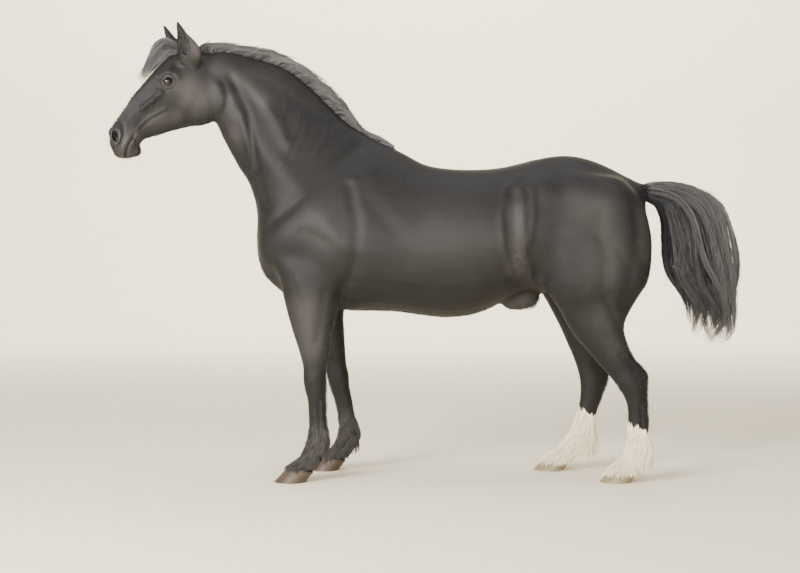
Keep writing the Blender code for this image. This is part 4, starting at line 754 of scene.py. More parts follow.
def largest_only(shape):
    """Leaves the largest of the closed surfaces, each followed from face to face."""
    left = set(shape.faces)
    groups = []
    while left:
        group, rim = set(), {next(iter(left))}
        while rim:
            group |= rim
            edges = {e for face in rim for e in face.edges if len(e.link_faces) == 2}
            rim = {face for e in edges for face in e.link_faces} - group
        groups.append(group)
        left -= group
    groups.sort(key=len)
    spare = [face for group in groups[:-1] for face in group]
    bmesh.ops.delete(shape, geom=spare, context="FACES")


def boolean(obj, others, operation, solver="MANIFOLD"):
    """Joins other closed shapes to the object, or cuts them out of it, in one step."""
    group = bpy.data.collections.new("shapes")
    for other in others:
        group.objects.link(other)
    step = obj.modifiers.new(operation, "BOOLEAN")
    step.operation = operation
    step.solver = solver
    step.operand_type = "COLLECTION"
    step.collection = group
    apply_modifiers(obj)
    bpy.data.collections.remove(group)
    for other in others:
        bpy.data.objects.remove(other)
    edited(obj, triangulated)
    return edited(obj, largest_only)


def lens(middle, half_long, half_high, slant, reach):
    """A pointed opening between the lids, as a prism that runs out from the eye."""
    shape = bmesh.new()
    x, y, z = middle
    side = math.copysign(1, y)
    outline = []
    for sign in (1, -1):
        for i in range(LID_STEPS):
            t = -1 + 2 * i / LID_STEPS
            outline.append((t * sign * half_long, sign * half_high * math.cos(t * math.pi / 2)))
    rings = []
    for start in (0.0, reach):
        flare = 1 + start * LID_FLARE
        corners = []
        for u, v in outline:
            along, up = slanted(u, v, slant)
            place = (x + along * flare, y + side * start, z + up * flare)
            corners.append(shape.verts.new(place))
        rings.append(corners)
    return closed(shape, rings)


def slanted(u, v, slant):
    """A place on the side view, turned by the slant."""
    return u * math.cos(slant) - v * math.sin(slant), u * math.sin(slant) + v * math.cos(slant)


def ball(middle, radius):
    return sphere(radius, 64, 40, Matrix.Translation(middle))


def skin_point(tree, x, z, side):
    """Where a level line from the side meets the skin."""
    return tree.ray_cast(Vector((x, side * 2.0, z)), Vector((0, -side, 0)))[0]


def tube(path, radius):
    """A six-sided tube along the points, closed and thinner at its ends."""
    shape = bmesh.new()
    rings = []
    for i, p in enumerate(path):
        along = (path[min(i + 1, len(path) - 1)] - path[max(i - 1, 0)]).normalized()
        one = along.orthogonal().normalized()
        if rings:
            one = (before - along * before.dot(along)).normalized()
        before = one
        two = along.cross(one)
        size = radius * (TUBE_END if i in (0, len(path) - 1) else 1.0)
        corners = [p + (one * math.cos(a) + two * math.sin(a)) * size
                   for a in (math.pi * k / 3 for k in range(6))]
        rings.append([shape.verts.new(corner) for corner in corners])
    return closed(shape, rings)


def mouth_path(tree):
    """The line between the lips, from one corner round the front to the other."""
    left = [skin_point(tree, x, z, -1) for x, z in MOUTH[:-1]]
    right = [skin_point(tree, x, z, 1) for x, z in MOUTH[:-1]]
    lowest = tree.ray_cast(Vector((MOUTH[-1][0], 0.0, 1.0)), Vector((0, 0, 1)))[0]
    return left + [lowest] + right[::-1]


def point_on(points, t):
    """The point a share t of the way along a list of points."""
    place = min(max(t, 0.0), 1.0) * (len(points) - 1)
    i = min(int(place), len(points) - 2)
    return Vector(points[i]).lerp(Vector(points[i + 1]), place - i)


def soft(t):
    t = min(max(t, 0.0), 1.0)
    return t * t * (3 - 2 * t)


def point_on_row(rows, t):
    """A row of numbers a share t of the way through smooth rows."""
    place = min(max(t, 0.0), 1.0) * (len(rows) - 1)
    i = min(int(place), len(rows) - 2)
    return rows[i] * (1 - place + i) + rows[i + 1] * (place - i)


def leg_middle(name, z):
    """The middle of a leg at a height."""
    rows = sorted(((az + bz) / 2, (ax + bx) / 2) for ax, az, bx, bz, *_ in LEGS[name])
    return Vector((np.interp(z, *zip(*rows)), side_of(name) * LEG_Y, z))


def outside(trees, middle, out):
    """How far the outermost surface is from the middle, level with it."""
    reach = 0.0
    for tree in trees:
        hit = tree.ray_cast(middle + out * 0.25, -out, 0.25)[0]
        if hit:
            reach = max(reach, (hit - middle).length)
    return reach


def tree_of(obj):
    """What the surface is searched with. Its faces are sorted, so that each run finds the same places."""
    mesh = obj.data
    points = [v.co.copy() for v in mesh.vertices]
    return BVHTree.FromPolygons(points, sorted(tuple(p.vertices) for p in mesh.polygons))


def unit(vectors):
    return vectors / np.maximum(np.linalg.norm(vectors, axis=-1, keepdims=True), 1e-9)


# The flesh


def raised(obj, strokes, side=0, deep=False):
    """Raises the surface along strokes of the side view, on one side or both, or along deep strokes."""
    points, normals = read_points(obj.data), normals_of(obj.data)
    seen = points if deep else side_view(points)
    outward = 1.0 if deep else np.clip(normals[:, 1] * np.sign(points[:, 1]), 0, 1) ** FLANK_POWER
    if side:
        outward = outward * (points[:, 1] * side > 0)
    height = np.zeros(len(points))
    for line, width, rise in strokes:
        height += rise * outward * fade(seen, line, width)
    write_points(obj.data, points + normals * height[:, None])
    return obj


def refined(obj, wanted):
    """Splits every face of the wanted places in four."""

    def split(shape):
        centres = np.array([f.calc_center_median() for f in shape.faces])
        inside = wanted(centres)
        edges = {e for f, yes in zip(shape.faces, inside) if yes for e in f.edges}
        bmesh.ops.subdivide_edges(shape, edges=list(edges), cuts=1, use_grid_fill=True)

    return edited(obj, split)


def head_and_feet(points):
    x, z = points[:, 0], points[:, 2]
    return ((x < HEAD_X) & (z > FACE_FOOT)) | (z < FEET_TOP)


def face(points):
    """Round the eyes, nostrils and lips."""
    near_eye = near_line(side_view(points), [EYE, EYE]) < FINE_EYE
    near_muzzle = (points[:, 0] < FINE_MUZZLE[0]) & (points[:, 2] < FINE_MUZZLE[1])
    return near_eye | near_muzzle


def weighing(places):
    """Turns a test of places into weights for smoothing."""
    return lambda points: places(points).astype(float)


def tendon(name, across, high, low):
    """A line down a lower leg, a share of the way from its front to its rear."""
    rows = [(ax + (bx - ax) * across, (bz + az) / 2) for ax, az, bx, bz, *_ in LEGS[name]]
    return [(x, z) for x, z in rows if low <= z <= high]


def fused_flesh():
    """The flesh before it is cut: slices and masses fused, smoothed, and raised along its strokes."""
    shapes = [loft(TRUNK), loft(NECK), loft(HEAD), loft(DOCK)]
    for name, slices in LEGS.items():
        shapes.append(loft(slices, side_of(name)))
    for middle, radii, lean in MASSES:
        shapes += [blob(middle, radii, lean, side) for side in (-1, 1)]
    shapes += [blob(*mass) for mass in MIDDLE_MASSES]
    obj = joined("skin", shapes)
    fuse = obj.modifiers.new("fuse", "REMESH")
    fuse.mode = "VOXEL"
    fuse.voxel_size = SKIN_VOXEL
    apply_modifiers(obj)
    relaxed(obj, FUSED_ROUNDS)
    relaxed(obj, CREASE_ROUNDS, steps=(0.5,), where=thick_flesh)
    refined(obj, head_and_feet)
    relaxed(obj, HEAD_ROUNDS, where=weighing(head_and_feet))
    raised(obj, STROKES + BODY_STROKES)
    raised(obj, DEEP_STROKES, deep=True)
    for name in LEGS:
        lines = [(tendon(name, across, high, low), width, rise)
                 for across, width, rise, high, low in TENDONS]
        raised(obj, lines, side_of(name))
    relaxed(obj, STROKE_ROUNDS)
    refined(obj, face)
    relaxed(obj, FACE_ROUNDS, where=weighing(face))
    raised(obj, FACE_STROKES)
    write_points(obj.data, read_points(obj.data) - normals_of(obj.data) * COAT_DEPTH)
    return obj


def side_of(name):
    return -1 if name.endswith("left") else 1


def straightened(point):
    """Where a point of the turned head lies on the straight horse."""
    pivot = np.array([TURN_ENDS_X, 0.0, 0.0])
    back = Matrix.Rotation(-HEAD_TURN, 3, "Z")
    moved = back @ Vector(np.array(point) - turned(pivot)[0])
    return moved + Vector(pivot)


def eye_middle(name):
    return straightened(solid_middle(name))


def solid_middle(name):
    low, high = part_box(name)
    return (low + high) / 2


def shaped_head(skin):
    """Lids round the eyes, nostrils, the line of the mouth and the ears."""
    tree = tree_of(skin)
    lids, cuts = [], []
    for side, name in EYES.items():
        middle = eye_middle(name)
        lids.append(as_object("lid", ball(middle, EYE_RADIUS + LID)))
        start = middle + Vector((0, side * EYE_RADIUS * 0.35, 0))
        cuts.append(as_object("opening", lens(start, *LID_OPENING, EYE_SLANT, 0.04)))
        cuts.append(as_object("socket", ball(middle, EYE_RADIUS + GAP)))
        nose = skin_point(tree, *NOSTRIL, side)
        pit = blob((nose.x, abs(nose.y), nose.z), NOSTRIL_RADII, NOSTRIL_SLANT, side, 32)
        cuts.append(as_object("pit", pit))
        lids.append(ear(side))
    cuts.append(as_object("mouth", tube(mouth_path(tree), MOUTH_RADIUS)))
    boolean(skin, lids, "UNION")
    boolean(skin, cuts, "DIFFERENCE")
    return relaxed(skin, 2, where=near_features)


def leaned(slices, side):
    """The slices of an ear moved along the head, more so towards its tip."""
    foot, tip = EAR_SHIFTS[side]
    moved = []
    for ax, az, bx, bz, *rest in slices:
        t = ((az + bz) / 2 - EAR_FOOT) / (EAR_TIP - EAR_FOOT)
        shift = foot + (tip - foot) * t
        moved.append((ax + shift, az, bx + shift, bz, *rest))
    return moved


def ear(side):
    whole = as_object("ear", loft(leaned(EAR, side), side, count=44))
    cup = as_object("cup", loft(leaned(EAR_CUP, side), side, count=36))
    return boolean(whole, [cup], "DIFFERENCE")


def near_features(points):
    """1 close to what was fused or cut on the head, to 0 elsewhere."""
    x, z = points[:, 0], points[:, 2]
    lids = near_line(side_view(points), [EYE, EYE]) < SEAM_EYE
    front, rear, foot = SEAM_EARS
    ears = (z > foot) & (x > front) & (x < rear)
    muzzle = (x < SEAM_MUZZLE[0]) & (z < SEAM_MUZZLE[1])
    return (lids | ears | muzzle).astype(float)


# Markings, painted highlights and painted shade, by place on the straight horse


def blaze_field(points):
    """How far inside the white of the face each point is, in metres."""
    blaze = BLAZE_HALF - near_line(points, BLAZE)
    snip = SNIP_HALF - near_line(points, SNIP)
    return np.maximum(blaze, snip)


def sock_field(points):
    """How far below the top of a white sock each point is, in metres."""
    x, y, z = points.T
    field = np.full(len(points), -1.0)
    for side, (top, start, slope) in SOCKS.items():
        here = (y * (-1 if side == "left" else 1) > 0) & (x > 0.3)
        field[here] = (top - slope * (x[here] - start)) - z[here]
    return field


def white_field(points):
    return np.maximum(blaze_field(points), sock_field(points))


def bare_field(points):
    """1 on the thin-haired skin of the muzzle, eyelids and sheath, to 0 on the coat."""
    side = side_view(points)
    spots = [fade(side, line, width) for line, width in BARE] + [fade(points, SHEATH, SHEATH_BARE)]
    return np.clip(np.maximum.reduce(spots) * 1.3, 0, 1)


def faded_field(points):
    """How much painted highlight lies on each point: 0 where there is none, 1 or more where it is
    strongest.
    """
    side = side_view(points)
    return np.maximum.reduce([most * fade(side, line, width) for line, width, most in PAINTED_HIGHLIGHTS])


def crease_field(points):
    """Painted shade: 1 in the line between the lips and in the nostrils, to 0 elsewhere."""
    side = side_view(points)
    lips = fade(side, MOUTH, CREASE_SHADE_HALF)
    x, z = (side - NOSTRIL).T
    along, up = slanted(x, z, math.radians(NOSTRIL_SLANT))
    deep = (along / NOSTRIL_RADII[0]) ** 2 + (up / NOSTRIL_RADII[2]) ** 2
    return np.clip(np.maximum(lips, np.exp(-(deep**2) * 1.2)), 0, 1)


def leg_share(points):
    """0 on the body to 1 on the legs, where hair lies downwards."""
    x, z = points[:, 0], points[:, 2]
    return np.clip((LEG_HAIR_TOP - z) / LEG_HAIR_FADE, 0, 1) * (x > -1.0)


def add_values(mesh, **values):
    for name, value in values.items():
        layer = mesh.attributes.new(name, "FLOAT", "POINT")
        layer.data.foreach_set("value", np.asarray(value, np.float32))


def skin_piece():
    """The skin: shaped, marked and given its painted highlights and shade on the straight horse, and then
    turned.
    """
    skin = shaped_head(fused_flesh())
    tree = tree_of(skin)
    points = read_points(skin.data)
    add_values(
        skin.data,
        white=white_field(points),
        bare=bare_field(points),
        crease=crease_field(points),
        faded=faded_field(points),
        leg=leg_share(points),
    )
    bed = linked("bed", skin.data.copy())
    write_points(skin.data, turned(points))
    skin.data.shade_smooth()
    return skin, bed, tree


# Strands of hair


def strands(name, paths, outward, half, thick, shade, smooth=True):
    """One closed three-sided strand along each path, drawn out to a point."""
    count, steps = paths.shape[:2]
    along = unit(np.gradient(paths, axis=1))
    out = unit(outward - along * (outward * along).sum(-1, keepdims=True))
    across = np.cross(along, out)
    u, v = STRAND_SIDES[:, 0], STRAND_SIDES[:, 1]
    corners = (
        paths[:, :, None]
        + across[:, :, None] * (half[:, :, None] * u)[..., None]
        + out[:, :, None] * (thick[:, :, None] * v)[..., None]
    )
    size = steps * 3
    faces = strand_faces(steps)[None] + (np.arange(count) * size)[:, None, None]
    t = np.repeat(np.linspace(0, 1, steps), 3)
    roots = paths[:, 0]
    patch = UV_PATCH * np.stack([np.tile(u * 0.4, steps), t - 0.5], 1)
    uv = unwrapped(roots)[:, None] + patch[None]
    values = {
        "shade": np.repeat(shade, size),
        "white": np.repeat(sock_field(roots) + SOCK_OVERHANG, size),
        "along": np.tile(t, count),
    }
    places = turned(corners.reshape(-1, 3))
    return coat_mesh(name, places, faces.reshape(-1, 3), uv.reshape(-1, 2), values, smooth)


def strand_faces(steps):
    """Triangles of one strand, with its two ends closed."""
    faces = [(0, 2, 1)]
    for i in range(steps - 1):
        for a in range(3):
            b = (a + 1) % 3
            low, high = i * 3, i * 3 + 3
            faces += [(low + a, low + b, high + b), (low + a, high + b, high + a)]
    last = steps * 3 - 3
    faces.append((last, last + 1, last + 2))
    return np.array(faces)


def coat_mesh(name, points, faces, uv, values, smooth=True):
    """A piece of the coat, with its values on points and its patch for every strand."""
    mesh = bpy.data.meshes.new(name)
    mesh.vertices.add(len(points))
    mesh.vertices.foreach_set("co", points.astype(np.float32).ravel())
    mesh.loops.add(len(faces) * 3)
    mesh.loops.foreach_set("vertex_index", faces.astype(np.int32).ravel())
    mesh.polygons.add(len(faces))
    mesh.polygons.foreach_set("loop_start", np.arange(len(faces), dtype=np.int32) * 3)
    mesh.update(calc_edges=True)
    mesh.validate()
    layer = mesh.uv_layers.new(name="OFBake")
    layer.uv.foreach_set("vector", uv[faces.ravel()].astype(np.float32).ravel())
    add_values(mesh, **values)
    if smooth:
        mesh.shade_smooth()
    return linked(name, mesh)


# An unwrap of the skin: each chart rolls out one part of the body round its own axis. It holds the
# axis from end to end as (x, z), the middle of the part across the body, and the chart's corner and
# size on the sheet.
CHARTS = {
    "head": ((-1.20, 2.12), (-1.62, 1.76), 0.0, (0.00, 0.75), (0.50, 0.25)),
    "neck": ((-1.15, 2.08), (-0.25, 1.45), 0.0, (0.50, 0.75), (0.50, 0.25)),
    "trunk": ((-0.90, 1.28), (1.20, 1.30), 0.0, (0.00, 0.40), (1.00, 0.34)),
    "tail": ((1.19, 1.52), (1.56, 1.15), 0.0, (0.00, 0.27), (0.30, 0.12)),
    "foreleg_left": ((-0.59, 1.05), (-0.59, 0.00), -0.2, (0.31, 0.27), (0.16, 0.12)),
    "foreleg_right": ((-0.45, 1.05), (-0.45, 0.00), 0.2, (0.48, 0.27), (0.16, 0.12)),
    "hindleg_left": ((1.00, 1.05), (1.05, 0.00), -0.2, (0.65, 0.27), (0.16, 0.12)),
    "hindleg_right": ((0.90, 1.05), (0.80, 0.00), 0.2, (0.82, 0.27), (0.16, 0.12)),
}


def chart_of(points):
    """The name of the chart that each point of the straight horse is on."""
    x, y, z = points.T
    left = y < 0
    rules = [
        ((x < -1.13) & (z > 1.6), "head"),
        ((x < -0.25) & (z > 1.44 - 0.48 * (x + 0.9)), "neck"),
        ((x > 1.19) & (z > 1.0), "tail"),
        ((z < 1.0) & (x < 0.1) & left, "foreleg_left"),
        ((z < 1.0) & (x < 0.1), "foreleg_right"),
        ((z < 1.0) & (x > 0.55) & left, "hindleg_left"),
        ((z < 1.0) & (x > 0.55), "hindleg_right"),
    ]
    return np.select([rule for rule, _ in rules], [name for _, name in rules], "trunk")


def unwrapped(points):
    """Where roots on the straight horse lie on the sheet."""
    charts = chart_of(points)
    sheet = np.zeros((len(points), 2))
    for name, (start, end, middle, corner, size) in CHARTS.items():
        here = charts == name
        if not here.any():
            continue
        start, end = np.array(start), np.array(end)
        axis = end - start
        place = points[here][:, [0, 2]] - start
        along = np.clip(place @ axis / (axis @ axis), 0, 1)
        aside = (place @ np.array([-axis[1], axis[0]])) / np.linalg.norm(axis)
        angle = np.arctan2(points[here][:, 1] - middle, aside) / (2 * math.pi) + 0.5
        sheet[here] = np.array(corner) + np.stack([along, angle], 1) * (np.array(size) - 0.01) + 0.005
    return sheet


def lock_strands(guides, outward, draw, count, size, spread, short, wave, closing):
    """Strands round each guide: apart along it, drawn together at its tip, and of varied length."""
    locks, steps = guides.shape[:2]
    along = unit(np.gradient(guides, axis=1))
    out = unit(outward - along * (outward * along).sum(-1, keepdims=True))
    across = np.cross(along, out)
    ends = 1 - short * draw.random((locks, count, 1)) ** 1.5
    t = np.linspace(0, 1, steps)[None, None] * ends
    place = t * (steps - 1)
    low = np.minimum(place.astype(int), steps - 2)
    part = (place - low)[..., None]
    rows = np.arange(locks)[:, None, None]

    def read(values):
        return values[rows, low] * (1 - part) + values[rows, low + 1] * part

    wide = draw.uniform(-1, 1, (locks, count, 1)) * spread[0] * size
    deep = draw.uniform(-1, 1, (locks, count, 1)) * spread[1] * size
    drawn = 1.0 - closing * t**1.6
    phase = draw.uniform(0, 2 * math.pi, (locks, count, 1))
    sway = wave * size * np.sin(phase + LOCK_WAVES * 2 * math.pi * t) * t
    stray = draw.normal(0, 1, (locks, count, 1)) * wave * size * 1.2 * t**2
    paths = read(guides) + read(across) * (wide * drawn + sway + stray)[..., None]
    paths += read(out) * (deep * drawn)[..., None]
    shape = (locks * count, steps, 3)
    return paths.reshape(shape), read(out).reshape(shape)


def strand_sizes(count, steps, width, thick, draw):
    """Half widths and thicknesses along strands: full for most of their length, then a fine tip."""
    t = np.linspace(0, 1, steps)[None]
    taper = (0.75 + 0.25 * np.minimum(t * 4, 1)) * (1 - t**3) + 0.05
    size = draw.uniform(0.7, 1.3, (count, 1))
    return width * size * taper, thick * size * taper


def shades(locks, count, draw, within):
    """A shade for each strand: locks differ, and strands differ a little within a lock."""
    lock = draw.random((locks, 1))
    strand = draw.random((locks, count))
    return (lock * (1 - within) + strand * within).ravel()


def hair_piece(name, kind, guides, out, draw, count, size=1.0):
    """Strands round the guides, as one piece of long hair."""
    steps = guides.shape[1]
    paths, outward = lock_strands(guides, out, draw, count, size, **LOCKS[kind])
    half, thick = strand_sizes(len(paths), steps, *STRANDS[kind], draw)
    within, gain, painted_light, base = SHADES[kind]
    # Painted light: strands that face the light from behind and above are painted lighter
    facing_light = (outward[:, steps // 2] @ LIGHT_FROM + 1) / 2
    shade = shades(len(guides), count, draw, within) * gain + facing_light**2 * painted_light + base
    return strands(name, paths, outward, half, thick, shade, smooth=kind != "feather")


def stacked(made):
    """The paths of guides, and their ways outward, each in one array."""
    return [np.array(rows) for rows in zip(*made)]


def sheaf_guide(rows, roots, ring_share, i, count, draw, latest, steps, sway, collar, shortest):
    """Guide i of a ring: it starts at the roots and keeps to its ring between the slices."""
    start, end = latest * draw.random() ** 1.6, 1.0 - shortest * draw.random()
    angle = 2 * math.pi * (i + 0.5 * draw.random()) / count
    phase = 2 * math.pi * draw.random()
    swing = 0.9 * angle + 1.0 * draw.random()
    share_along = start / max(latest, 0.01)
    path, normals = [], []
    for k in range(steps):
        s = k / (steps - 1)
        t = start + (end - start) * s
        ax, az, bx, bz, half = point_on_row(rows, t)
        turn = angle + SHEAF_WAVE * math.sin(phase + 7 * t) * t
        radius = ring_share * (1 + 0.35 * SHEAF_WAVE * math.sin(2 * phase + 9 * t) * t)
        up, out = math.sin(turn), math.cos(turn)
        edge = Vector(((ax - bx) / 2, 0.0, (az - bz) / 2))
        place = Vector(((ax + bx) / 2, 0.0, (az + bz) / 2))
        place += edge * (up * radius) + Vector((0, out * half * radius, 0))
        place += edge.normalized() * sway * t**1.3 * math.sin(swing + TAIL_WAVES * 2 * math.pi * t)
        root = point_on(roots, share_along)
        reach = collar * (1 - 0.25 * share_along) * (0.72 + 0.28 * min(1.0, 6 * s))
        root += (edge.normalized() * (up * 1.15) + Vector((0, out, 0))) * reach
        path.append(root.lerp(place, soft(s * 3.2)))
        normals.append(edge * (up / edge.length_squared) + Vector((0, out / half, 0)))
    return path, normals


def sheaf_guides(kind, slices, roots, rings, draw):
    """Guides that start along the roots and fill the space between the slices, ring in ring."""
    rows = eased([s[:5] for s in slices], 6)
    guides, outward = stacked([
        sheaf_guide(rows, roots, ring_share, i, count, draw, **SHEAVES[kind])
        for ring_share, count in rings for i in range(count)
    ])
    return guides, unit(outward)


def tail_pieces():
    draw = np.random.default_rng(3)
    pieces = []
    for name, (rings, count) in TAIL_RINGS.items():
        guides, out = sheaf_guides("tail", TAIL, TAIL_ROOTS, rings, draw)
        pieces.append(hair_piece(name, "tail", guides, out, draw, count))
    return pieces


def forelock_piece():
    draw = np.random.default_rng(5)
    guides, out = sheaf_guides("forelock", FORELOCK, FORELOCK_ROOTS, FORELOCK_RINGS, draw)
    count, steps = guides.shape[:2]
    guides += draw.normal(0, 0.004, (count, 1, 3)) * np.linspace(0, 1, steps)[None, :, None]
    return hair_piece("forelock", "forelock", guides, out, draw, FORELOCK_STRANDS)


def crest_rows():
    """Along the crest: its place (x, z), the way up from it, and the rise of the mane."""
    line = eased(CREST, 6)
    along = unit(np.gradient(line, axis=0))
    rises = np.interp(line[:, 0], *zip(*MANE_RISES))
    return np.column_stack([line, -along[:, 1], along[:, 0], rises])


def far_side(tree, x, z, s, fall, layer):
    """A place on the hair that hangs down the right side, from the crest (s 0) to its tips (s 1)."""
    down = fall * s**1.1
    aim = Vector((x + 0.09 * s, 0.030 + 0.33 * down**0.6, z - 0.04 * s - down))
    skin, normal = tree.find_nearest(aim)[:2]
    return skin + normal * (0.010 + 0.018 * layer * (1.1 - s)), normal


def mane_guide(tree, rows, draw, t, near, steps):
    """One lock of the mane: it lies back along the crest and round the roll, and may hang beyond it."""
    layer = draw.uniform(*MANE_LAYERS)
    sweep = draw.uniform(*MANE_SWEEP)
    fall = max(0.05, MANE_FALL * draw.uniform(0.80, 1.05) * soft((1 - t) * 1.8))
    start = MANE_NEAR_EDGE if near else draw.uniform(*MANE_FAR_STARTS)
    end = draw.uniform(*MANE_NEAR_ENDS) if near else MANE_FAR_EDGE
    lift_off = MANE_LOOSE * draw.random() ** 2 * soft((0.85 - t) * 4)
    path, outward = [], []
    for k in range(steps):
        s = k / (steps - 1)
        on_roll = min(1.0, s if near else s * 2)
        turn = start + (end - start) * on_roll**0.9
        x, z, up_x, up_z, rise = point_on_row(rows, min(0.995, t + sweep * on_roll))
        high = rise * layer * math.cos(turn) + lift_off * s**3 * near
        up = Vector((up_x, 0, up_z))
        half = MANE_HALF * min(1.0, 0.3 + rise / 0.03)
        place = Vector((x, half * layer * math.sin(turn), z)) + up * high
        normal = up * math.cos(turn) + Vector((0, math.sin(turn), 0))
        if not near and s > 0.5:
            hanging, side_normal = far_side(tree, x, z, 2 * s - 1, fall, layer)
            place = place.lerp(hanging, soft((s - 0.5) * 6))
            normal = normal.lerp(side_normal, soft((s - 0.5) * 6))
        if s < 0.2:
            skin, skin_normal = tree.find_nearest(place - up * high)[:2]
            place = (skin - skin_normal * ROOT_DEPTH).lerp(place, soft(s * 5))
        path.append(place)
        outward.append(normal)
    return path, outward


def mane_pieces(tree):
    draw = np.random.default_rng(11)
    rows = crest_rows()
    pieces = []
    for name, (locks, count, steps, last) in MANE_LOCKS.items():
        near = name == "mane_near"
        made = [mane_guide(tree, rows, draw, last * (i + draw.random()) / locks, near, steps)
                for i in range(locks)]
        guides, out = stacked(made)
        size = np.interp(guides[:, 0, 0], *zip(*MANE_SIZES))[:, None, None]
        pieces.append(hair_piece(name, "mane", guides, out, draw, count, size))
    return pieces


def leg_guide(name, trees, angle, top, low, stand, hang):
    """A lock that grows at a height, at an angle from the rear, and hangs clear of the hoof."""
    path, outward = [], []
    out = Vector((math.cos(angle), math.sin(angle), 0))
    for s in np.arange(FEATHER_STEPS) / (FEATHER_STEPS - 1):
        z = top + (low - top) * s
        middle = leg_middle(name, max(z, 0.045))
        middle.z = z
        lift = -0.006 + (0.0065 + stand * soft(1.2 * s)) * min(1.0, 4 * s)
        reach = outside(trees, middle, out) + lift
        if path:
            straight_down = (path[0] - middle).dot(out) + stand * s
            reach = max(reach, straight_down * hang + reach * (1 - hang))
        path.append(middle + out * reach)
        outward.append(out + Vector((0, 0, 0.2)))
    return path, outward


def round_leg(i, j, count, draw):
    """The angle from the rear of the leg at which lock j of row i grows, a little out of line."""
    return 2 * math.pi * (j + 0.5 * (i % 2) + 0.4 * draw.random()) / count


def feather_guides(name, trees, draw):
    """Rows of locks round the lower leg, longest behind, and the fringe over the coronet."""
    kind = name[:4]
    top, bottom, rows, count, _, length, stand, lowest = FEATHER[kind]
    fringe, fringe_rows, fringe_low, fringe_stand = FRINGE[kind]
    made = []
    for i in range(rows):
        for j in range(count):
            angle = round_leg(i, j, count, draw)
            behind = (1 + math.cos(angle)) / 2
            start = top + (bottom - top) * (i + draw.uniform(-0.9, 0.4)) / (rows - 1)
            long = length * (0.36 + 0.64 * behind) * draw.uniform(0.85, 1.1)
            low = max(start - long, lowest + 0.02 * draw.random() + 0.02 * (1 - behind))
            out = stand * behind**2 * draw.uniform(0.7, 1.15)
            guide = leg_guide(name, trees, angle, start, low, out, behind)
            on_sock = sock_field(np.array(guide[0][:1]))[0] > -0.004
            if on_sock or kind == "fore":
                made.append(guide)
    for i in range(fringe_rows):
        for j in range(count):
            angle = round_leg(i, j, count, draw)
            start = fringe - 0.013 * i + draw.uniform(-0.008, 0.008)
            low = fringe_low + 0.014 * (fringe_rows - 1 - i) + 0.012 * draw.random()
            made.append(leg_guide(name, trees, angle, start, low, fringe_stand, 0.0))
    return stacked(made)


def feather_piece(name, tree, horn):
    """Long hair round the fetlock and a fringe over the coronet."""
    draw = np.random.default_rng(list(LEGS).index(name))
    guides, out = feather_guides(name, [tree, horn], draw)
    return hair_piece("feather_" + name, "feather", guides, out, draw, FEATHER[name[:4]][4])


# Lashes, whiskers and the hair inside the ears


def sprigs(tree, side, draw):
    """Fine hairs from scattered places on the face."""
    paths = []
    for (x, z), spread, count, length, pull in FACE_HAIR:
        shift = sum(EAR_SHIFTS[side]) / 2 if z > EAR_FOOT else 0.0
        for _ in range(count):
            aim_x = x + shift + draw.uniform(-1, 1) * spread[0]
            aim_z = z + draw.uniform(-1, 1) * spread[1]
            root, normal = tree.ray_cast(Vector((aim_x, side * 2.0, aim_z)), Vector((0, -side, 0)))[:2]
            if not root:
                continue
            reach = length * draw.uniform(0.6, 1.1)
            way = Vector((pull[0], pull[1] * side, pull[2])) + Vector(draw.normal(0, 0.16, 3))
            paths.append([root + normal * (reach * s * 0.6 - 0.001) + way * (reach * s**1.5)
                          for s in FACE_STEPS])
    return paths


def lashes(name, side, draw):
    """Hairs along the edge of the upper lid, out and a little down."""
    middle = eye_middle(name)
    around = EYE_RADIUS + LID
    half_long, half_high = LID_OPENING
    paths = []
    for t in np.linspace(*LASHES):
        u, v = t * half_long, half_high * math.cos(t * math.pi / 2) + 0.001
        along, up = slanted(u, v, EYE_SLANT)
        deep = math.sqrt(max(around**2 - along**2 - up**2, 0)) - 0.001
        root = middle + Vector((along, side * deep, up))
        way = Vector((along * 8, side * 1.0, -0.15)) + Vector(draw.normal(0, 0.08, 3))
        reach = LASH * draw.uniform(0.8, 1.1)
        paths.append([root + way * (reach * s) + Vector((0, 0, reach * 0.35 * s * s))
                      for s in FACE_STEPS])
    return paths


def face_hair_piece(tree):
    draw = np.random.default_rng(21)
    paths = []
    for side, name in EYES.items():
        paths += sprigs(tree, side, draw) + lashes(name, side, draw)
    paths = np.array(paths)
    outward = np.zeros_like(paths) + (0.3, 0.1, 1.0)
    half, thick = strand_sizes(len(paths), len(FACE_STEPS), *STRANDS["face"], draw)
    return strands("face_hair", paths, outward, half, thick, draw.random(len(paths)) * 0.6)


# Short fur: tufts scattered over the skin


def tuft_object():
    """A lock of short hairs, one metre long, that lies along +X with its roots in the skin."""
    points, faces, along, patch = [], [], [], []
    u, v = STRAND_SIDES[:, 0], STRAND_SIDES[:, 1]
    for aside, fan, length in TUFT_HAIRS:
        start = len(points)
        for far, high, wide in TUFT_RINGS:
            for a, b in zip(u, v):
                points.append((far * length, aside + fan * far + a * wide, high + b * wide * TUFT_FLAT))
                along.append(far)
                patch.append((far - 0.5, aside + a * wide))
        points.append((length, aside + fan, TUFT_TIP))
        along.append(1.0)
        patch.append((0.5, aside))
        faces.append((start, start + 2, start + 1))
        for i in range(3):
            j = (i + 1) % 3
            faces.append((start + i, start + j, start + 3 + j))
            faces.append((start + i, start + 3 + j, start + 3 + i))
            faces.append((start + 3 + i, start + 3 + j, start + 6))
    mesh = bpy.data.meshes.new("tuft")
    mesh.from_pydata(points, [], faces)
    add_values(mesh, along=along, patch_u=[p for p, _ in patch], patch_v=[p for _, p in patch])
    mesh.shade_smooth()
    return bpy.data.objects.new("tuft", mesh)


